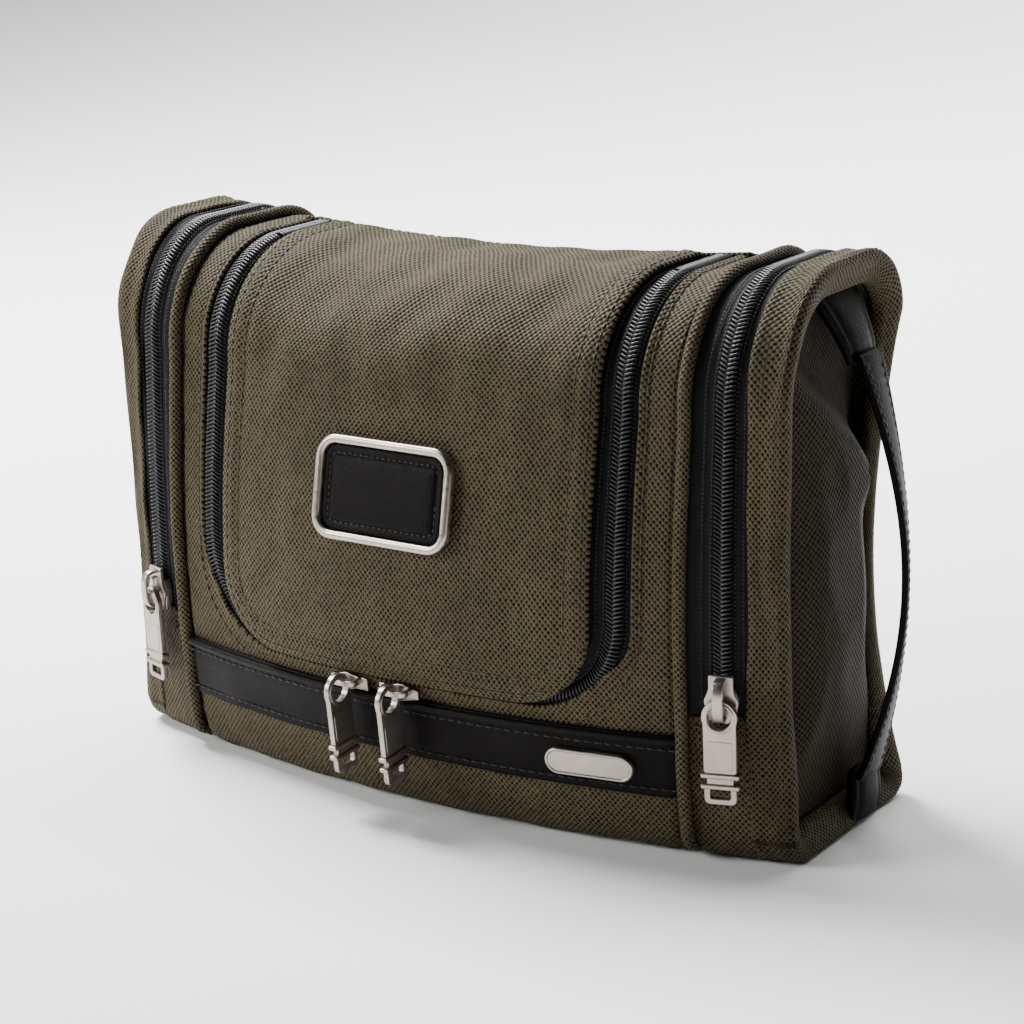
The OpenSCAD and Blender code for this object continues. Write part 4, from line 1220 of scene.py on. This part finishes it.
def end_slider(side, label):
    at = placed(side * END_ZIP_X, END_SLIDER_Z, 0)
    top = PIVOT_O + 2.9
    body = solid("body", slider_outline(11.0, SLIDER_L), 1.7, 0.45, z=PLATE_IN, matrix=at)
    edge = [(4.1, -7.4), (5.4, -1.2), (5.4, 0.2), (4.0, 3.6), (3.5, 3.4), (4.3, 0), (3.3, -7.4)]
    flanges = [solid("flange", [(s * x, y) for x, y in edge][::s], 2.6, 0.2, z=-0.1, matrix=at)
               for s in (1, -1)]
    bridge = [(6.6, PLATE_IN + 0.6), (6.7, top - 2.2), (5.2, top - 0.6), (2.0, top), (-2.6, top - 0.1),
              (-5.2, top - 0.9), (-6.3, top - 3.0), (-6.3, PLATE_IN + 0.6)]
    crown = bent_strip("crown", bridge, 3.4, 1.15, at)
    guide = bent_strip("guide", [(4.5, PLATE_IN + 1.6), (4.4, PLATE_IN + 2.6), (3.4, PLATE_IN + 2.9),
                                 (-4.4, PLATE_IN + 2.4), (-4.6, PLATE_IN + 1.6)], 2.0, 0.7, at)
    obj = join(f"{label}_zip_slider", [body, *flanges, crown, guide])
    finish(obj, nickel_plain, f"{label}_slider", [f"{label}_slider"])


EYE_R, EYE_HOLE = 5.75, 4.0
EYE_DROP = (EYE_R + EYE_HOLE) / 2
PULL_T = 2.0


def pull_mesh(name, matrix):
    """The pull: a round eye, a long flat body, a neck between two raised bands and an open end loop."""
    half, neck, end, tip = 5.3, 4.3, 5.2, -34.0
    flare = math.degrees(math.acos(half / EYE_R))
    outline = arc(0, -EYE_DROP, EYE_R, -flare, 180 + flare, 30)
    outline += [(-half, -23.2), (-neck, -23.6), (-neck, -28.4), (-end, -28.6)]
    outline += arc(-end + 1.7, tip + 1.7, 1.7, 180, 270, 6) + arc(end - 1.7, tip + 1.7, 1.7, 270, 360, 6)
    outline += [(end, -28.6), (neck, -28.4), (neck, -23.6), (half, -23.2)]
    eye = arc(0, -EYE_DROP, EYE_HOLE, 0, 348, 30)
    window = shifted(rounded(6.6, 3.1, 0.5, 4), 0, -30.6)
    z = -PULL_T / 2
    parts = [solid("plate", outline, PULL_T, 0.28, (eye, window), z, matrix)]
    face = shifted(rounded(8.4, 9.6, 0.8, 4), 0, -17.6)
    parts.append(solid("face", face, PULL_T + 0.3, 0.12, (), z - 0.15, matrix))
    for y in (-24.35, -28.0):
        band = shifted(rounded(12.4, 1.7, 0.5, 4), 0, y)
        parts.append(solid("band", band, PULL_T + 1.3, 0.42, (), z - 0.65, matrix))
    ring = [(math.cos(a), math.sin(a)) for a in np.linspace(0, 2 * np.pi, 28, endpoint=False)]
    loops = [[(x * r, y * r - EYE_DROP, h) for x, y in ring] for r, h in
             ((EYE_HOLE - 0.02, 0), (EYE_HOLE, 1.1), (EYE_HOLE + 0.3, 1.32), (EYE_HOLE + 0.8, 1.32),
              (EYE_HOLE + 1.1, 1.1), (EYE_HOLE + 1.1, 0))]
    for flip in (1, -1):
        verts = np.array([(x, y, h * flip) for loop in loops for x, y, h in loop])
        faces = grid_faces(len(loops), len(ring), wrap_cols=True, flip=flip > 0)
        lip = make("lip", verts, faces, verts[:, :2])
        lip.data.transform(matrix)
        parts.append(smooth_by_angle(lip, 50))
    return join(name, parts)


def turned(matrix, degrees):
    """The placing matrix with the fitting turned about the bag's upward line."""
    return matrix @ Matrix.Rotation(math.radians(degrees), 4, "Y")


for side, label in ((-1, "left"), (1, "right")):
    end_slider(side, label)
    at = placed(side * END_ZIP_X, END_SLIDER_Z, PIVOT_O)
    finish(pull_mesh(f"{label}_zip_pull", at), nickel_plain, f"{label}_pull", [f"{label}_pull"])


def lid_slider(label, x):
    """A lid slider lies along the zip's foot; its crown stands out and holds the pull edge on."""
    at = placed(x, LID_SLIDER_Z, 0)
    along = at @ Matrix.Rotation(math.radians(-90 if label == "left" else 90), 4, "Z")
    lower = at @ Matrix.Translation((0, -1.3 * MM, 0)) @ at.inverted()
    body = solid("body", slider_outline(6.2, SLIDER_L), 1.5, 0.4, z=PLATE_IN, matrix=lower @ along)
    leg = [(5.0, PLATE_IN + 1), (5.1, CROWN_O - 1.6), (4.6, CROWN_O - 0.3), (2.2, CROWN_O + 0.1)]
    bow = bent_strip("crown", leg + [(-x, o) for x, o in leg[::-1]], 2.2, 1.5, along)
    slider = join(f"lid_{label}_zip_slider", [body, bow])
    finish(slider, nickel_plain, f"lid_{label}_slider", [f"lid_{label}_slider"])
    lean = 1.9
    hang = placed(x, LID_SLIDER_Z, CROWN_O + lean) @ Matrix.Translation((0, (EYE_DROP - lean) * MM, 0))
    pull = pull_mesh(f"lid_{label}_zip_pull", turned(hang, 90))
    finish(pull, nickel_plain, f"lid_{label}_pull", [f"lid_{label}_pull"])


for label, x in LID_SLIDERS.items():
    lid_slider(label, x)


# ---- carrying strap ----------------------------------------------------------------------------------------
STRAP = dict(x=HALF_W - 0.5, y=10.0, foot=17.0, top=159.0, bow=13.5, thick=3.0, twist=25.0, width=15.0)


def strap_line(s):
    """Middle, across and out directions, and half width of the strap at s from 0, its foot, to 1."""
    rise = np.sin(np.pi * s)
    twist = np.radians(STRAP["twist"] * rise)
    mid = np.stack([STRAP["x"] + STRAP["bow"] * rise ** 0.9, STRAP["y"] + 0 * s,
                    STRAP["foot"] + (STRAP["top"] - STRAP["foot"]) * s], -1)
    across = np.stack([-np.sin(twist), np.cos(twist), 0 * s], -1)
    return mid, across, np.cross(across, unit(np.gradient(mid, axis=0))), STRAP["width"] / 2 - rise


def swept(name, mid, across, out, profiles):
    """A closed cross-section, given at each point of the middle line as (across, out) pairs."""
    verts = mid[:, None] + across[:, None] * profiles[..., :1] + out[:, None] * profiles[..., 1:]
    rows, m = profiles.shape[:2]
    length = lengths(mid)
    uv = np.stack(np.broadcast_arrays(profiles[..., 0], length[:, None]), -1)
    faces = grid_faces(rows, m, wrap_cols=True) + caps(rows, m)
    return make(name, verts.reshape(-1, 3), faces, uv.reshape(-1, 2))


s = np.linspace(0, 1, 90)
mid, across, out, half = strap_line(s)
shape = np.array([(1, -0.35), (1, 0.35), (0.96, 0.5), (0.88, 0.58), (0.72, 0.5), (0.6, 0.62), (0, 0.7),
                  (-0.6, 0.62), (-0.72, 0.5), (-0.88, 0.58), (-0.96, 0.5), (-1, 0.35), (-1, -0.35),
                  (-0.96, -0.5), (-0.7, -0.5), (0, -0.5), (0.7, -0.5), (0.96, -0.5)])
heights = np.broadcast_to(shape[:, 1] * 2.1, (len(s), len(shape)))
profiles = np.stack([shape[None, :, 0] * half[:, None], heights], -1)
strap = swept("carry_strap_leather", mid, across, out, profiles)
finish(strap, leather_skin, "carry_strap", ["carry_strap"])
for k, edge in enumerate((-1, 1)):
    line = mid + across * (edge * (half - 2.1))[:, None] + out * 1.1
    p, n = even_path(line[2:-2], out[2:-2], 3.2)
    stitch_row(f"carry_strap_stitches_{k}", p, n, 2.3, 0.28, "carry_strap", thread_black)


def anchor(label, z0, z1, wide0, wide1, lean, shift):
    """A folded leather tab sewn to the end wall, which holds one end of the strap. It leans in and aside."""
    n = 20
    z = np.linspace(z0, z1, n)
    u = (z - z0) / (z1 - z0)
    mid = np.stack([HALF_W - 3.6 + lean * u ** 1.3, STRAP["y"] + shift * u, z], -1)
    half = wide0 + (wide1 - wide0) * u
    deep = 4.4 - 1.2 * bell(u, 0.2) - 1.2 * bell(1 - u, 0.2)
    right = [(1, 0), (1, 0.45), (0.93, 0.72), (0.8, 0.78), (0.7, 0.72), (0.6, 0.88), (0.3, 0.98)]
    outline = np.array(right + [(0, 1.0)] + [(-x, y) for x, y in right[::-1]])
    shape = np.stack([outline[None, :, 0] * half[:, None], outline[None, :, 1] * deep[:, None]], -1)
    across, out = np.tile([0.0, 1.0, 0.0], (n, 1)), np.tile([1.0, 0.0, 0.0], (n, 1))
    obj = swept(f"{label}_anchor_leather", mid, across, out, shape)
    finish(obj, leather_skin, "bag", [f"{label}_strap_anchor"])


anchor("upper", STRAP["top"] - 3, STRAP["top"] + 22, 8.0, 14.0, lean=-9.5, shift=-4.0)
anchor("lower", 2.0, STRAP["foot"] + 3, 11.0, 8.2, lean=0.0, shift=0.0)


# ---- inside ------------------------------------------------------------------------------------------------
LINING_X = PIPING_X - 3.0
NET_HALF, NET_Z = 88.0, (18.0, 92.0)


def lining_offset(x, s):
    return -4.2 + 0.5 * rumple(x, s, 90, 30.0)


main = panel("main_lining_cloth", -LINING_X, LINING_X, 3.3, TURN + float(front_t(34)), lining_offset, 0.4,
             2.4)
finish(main, lining_cloth, "bag", ["main_lining"])


def back_station(z):
    return 4 + (BACK_Z - z) / (BACK_Z - CORNER_R)


NET_T = [back_station(z) for z in NET_Z]


def mesh_offset(x, s):
    low, high = run(NET_T[0]), run(NET_T[1])
    bag = np.sin(np.pi * np.clip((s - high) / (low - high), 0, 1)) * (1 - (x / NET_HALF) ** 2)
    return -5.6 - 2.2 * bag + 0.5 * rumple(x, s, 95, 34.0) * bag


net = panel("mesh_pocket_net", -NET_HALF, NET_HALF, NET_T[1], NET_T[0], mesh_offset, 0.5, 2.4)
finish(net, mesh_cloth, "bag", ["mesh_pocket"])
x = np.linspace(-NET_HALF - 1, NET_HALF + 1, 90)
s = run(NET_T[1]) + 0 * x
binding = tube("mesh_pocket_binding", skin(x, NET_T[1], mesh_offset(x, s) - 0.25), 1.6, 10)
finish(binding, lining_cloth, "bag")


def elastic_loop(k, x0):
    """A band of elastic, sewn down at both sides and bowed between."""
    w, r, deep, high = 11.0, 3.4, 11.2, 22.0
    back = 38.0 + float(middle(x0)) * BACK_BULGE - 5.8
    line = arc(w - r, -deep + r, r, 0, -90, 7) + arc(-w + r, -deep + r, r, 270, 180, 7)
    line = [(w, -0.3)] + line + [(-w, -0.3)]
    line = np.array(line)
    inner = line * np.array([(w - 1.1) / w, (deep - 1.1) / deep])
    ring = np.vstack([line, inner[::-1]])
    rows = 12
    z = np.linspace(0, high, rows)
    verts = [(x0 + px * (1 + 0.03 * math.sin(math.pi * h / high)), back + py, 100 + h)
             for h in z for px, py in ring]
    m = len(ring)
    uv = [(k * 60 + j * 1.6, h) for h in z for j in range(m)]
    faces = grid_faces(rows, m, wrap_cols=True, flip=True)
    for row in (0, rows - 1):
        for j in range(len(line) - 1):
            quad = (row * m + j, row * m + j + 1, row * m + m - 2 - j, row * m + m - 1 - j)
            faces.append(quad if row == 0 else quad[::-1])
    return make(f"elastic_{k}", np.array(verts), faces, np.array(uv))


loops = [elastic_loop(k, x0) for k, x0 in enumerate((-72, -44, 44, 72))]
finish(join("elastic_loop_bands", loops), webbing_cloth, "bag", ["elastic_loops"])


def hook_tab():
    """A loop of webbing around the eye's bar, with both ends sewn up under the top."""
    y0, z0, half, r, thick = 20.0, 158.0, 7.0, 1.65, 0.9
    bend = [(r * math.cos(a), r * math.sin(a)) for a in np.linspace(0, -math.pi, 12)[1:]]
    line = np.array([(r, 19.0), (r, 6.0), (r, 0.0), *bend, (-r, 1.5), (r - 1.1, 7.0), (r - 1.1, 19.0)])
    tangent = unit(np.gradient(line, axis=0))
    out = np.stack([-tangent[:, 1], tangent[:, 0]], -1)
    rows = []
    for x in (-half, half):
        rows += [[(x, y0 + a, z0 + b) for a, b in line], [(x, y0 + a, z0 + b) for a, b in line + out * thick]]
    p = np.array([rows[0], rows[1], rows[3], rows[2]])
    n = p.shape[1]
    uv = np.stack(np.broadcast_arrays(np.array([0, 1, 15, 16.0])[:, None], np.arange(n)[None] * 1.5), -1)
    faces = grid_faces(4, n, wrap_rows=True)
    faces += [(0, n, 2 * n, 3 * n), (n - 1, 4 * n - 1, 3 * n - 1, 2 * n - 1)]
    return make("hook_tab_webbing", p.reshape(-1, 3), faces, uv.reshape(-1, 2))


finish(smooth_by_angle(hook_tab(), 50), webbing_cloth, "bag", ["hook_tab"])

kept = {"hook_eye": nickel_plain, "travel_hook": nickel_plain, "left_partition": lining_cloth,
        "right_partition": lining_cloth, "base_board": lining_cloth}
for node, mat in kept.items():
    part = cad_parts[node]
    part.data.materials.clear()
    part.data.materials.append(mat)


# ---- floor and light ---------------------------------------------------------------------------------------
def stage():
    """A pale floor that curves up into a backdrop."""
    m = Nodes("studio_paper", "board", Roughness=0.9, Specular_IOR_Level=0.1)
    mottle = m.noise(m.coords("Object"), 3.0)
    m.out("Base Color", m.mix(mottle, colour(0.90, 0.90, 0.895), colour(0.93, 0.93, 0.925)))
    flat, r = 2.2, 1.2
    bend = [(flat + r * math.sin(a), r - r * math.cos(a)) for a in np.linspace(0, math.pi / 2, 12)[1:]]
    profile = [(-6.0, 0.0), (flat, 0.0), *bend, (flat + r, 5.0)]
    mesh = bpy.data.meshes.new("floor")
    verts = [(x, y, z) for x in (-7.0, 7.0) for y, z in profile]
    n = len(profile)
    mesh.from_pydata(verts, [], [(j, n + j, n + j + 1, j + 1) for j in range(n - 1)])
    mesh.polygons.foreach_set("use_smooth", [True] * len(mesh.polygons))
    floor = bpy.data.objects.new("floor", mesh)
    floor.data.materials.append(m.mat)
    bpy.context.scene.collection.objects.link(floor)


def area_light(name, place, aim, size, power, tint=(1, 1, 1)):
    light = bpy.data.lights.new(name, "AREA")
    light.shape, light.size, light.energy, light.color = "SQUARE", size, power, tint
    obj = bpy.data.objects.new(name, light)
    obj.location = place
    obj.rotation_euler = (Vector(aim) - Vector(place)).to_track_quat("-Z", "Y").to_euler()
    bpy.context.scene.collection.objects.link(obj)


stage()
world = bpy.data.worlds.new("studio")
world.use_nodes = True
world.node_tree.nodes["Background"].inputs["Color"].default_value = (1.0, 1.0, 1.0, 1.0)
world.node_tree.nodes["Background"].inputs["Strength"].default_value = 0.03
bpy.context.scene.world = world
area_light("top", (-0.85, 0.2, 1.2), (0, 0, 0.1), 0.7, 78)
area_light("key", (-1.3, -1.2, 0.8), (0, 0, 0.08), 0.7, 34)
area_light("backdrop", (0.0, 1.2, 2.2), (0.0, 3.2, 0.6), 1.5, 210)
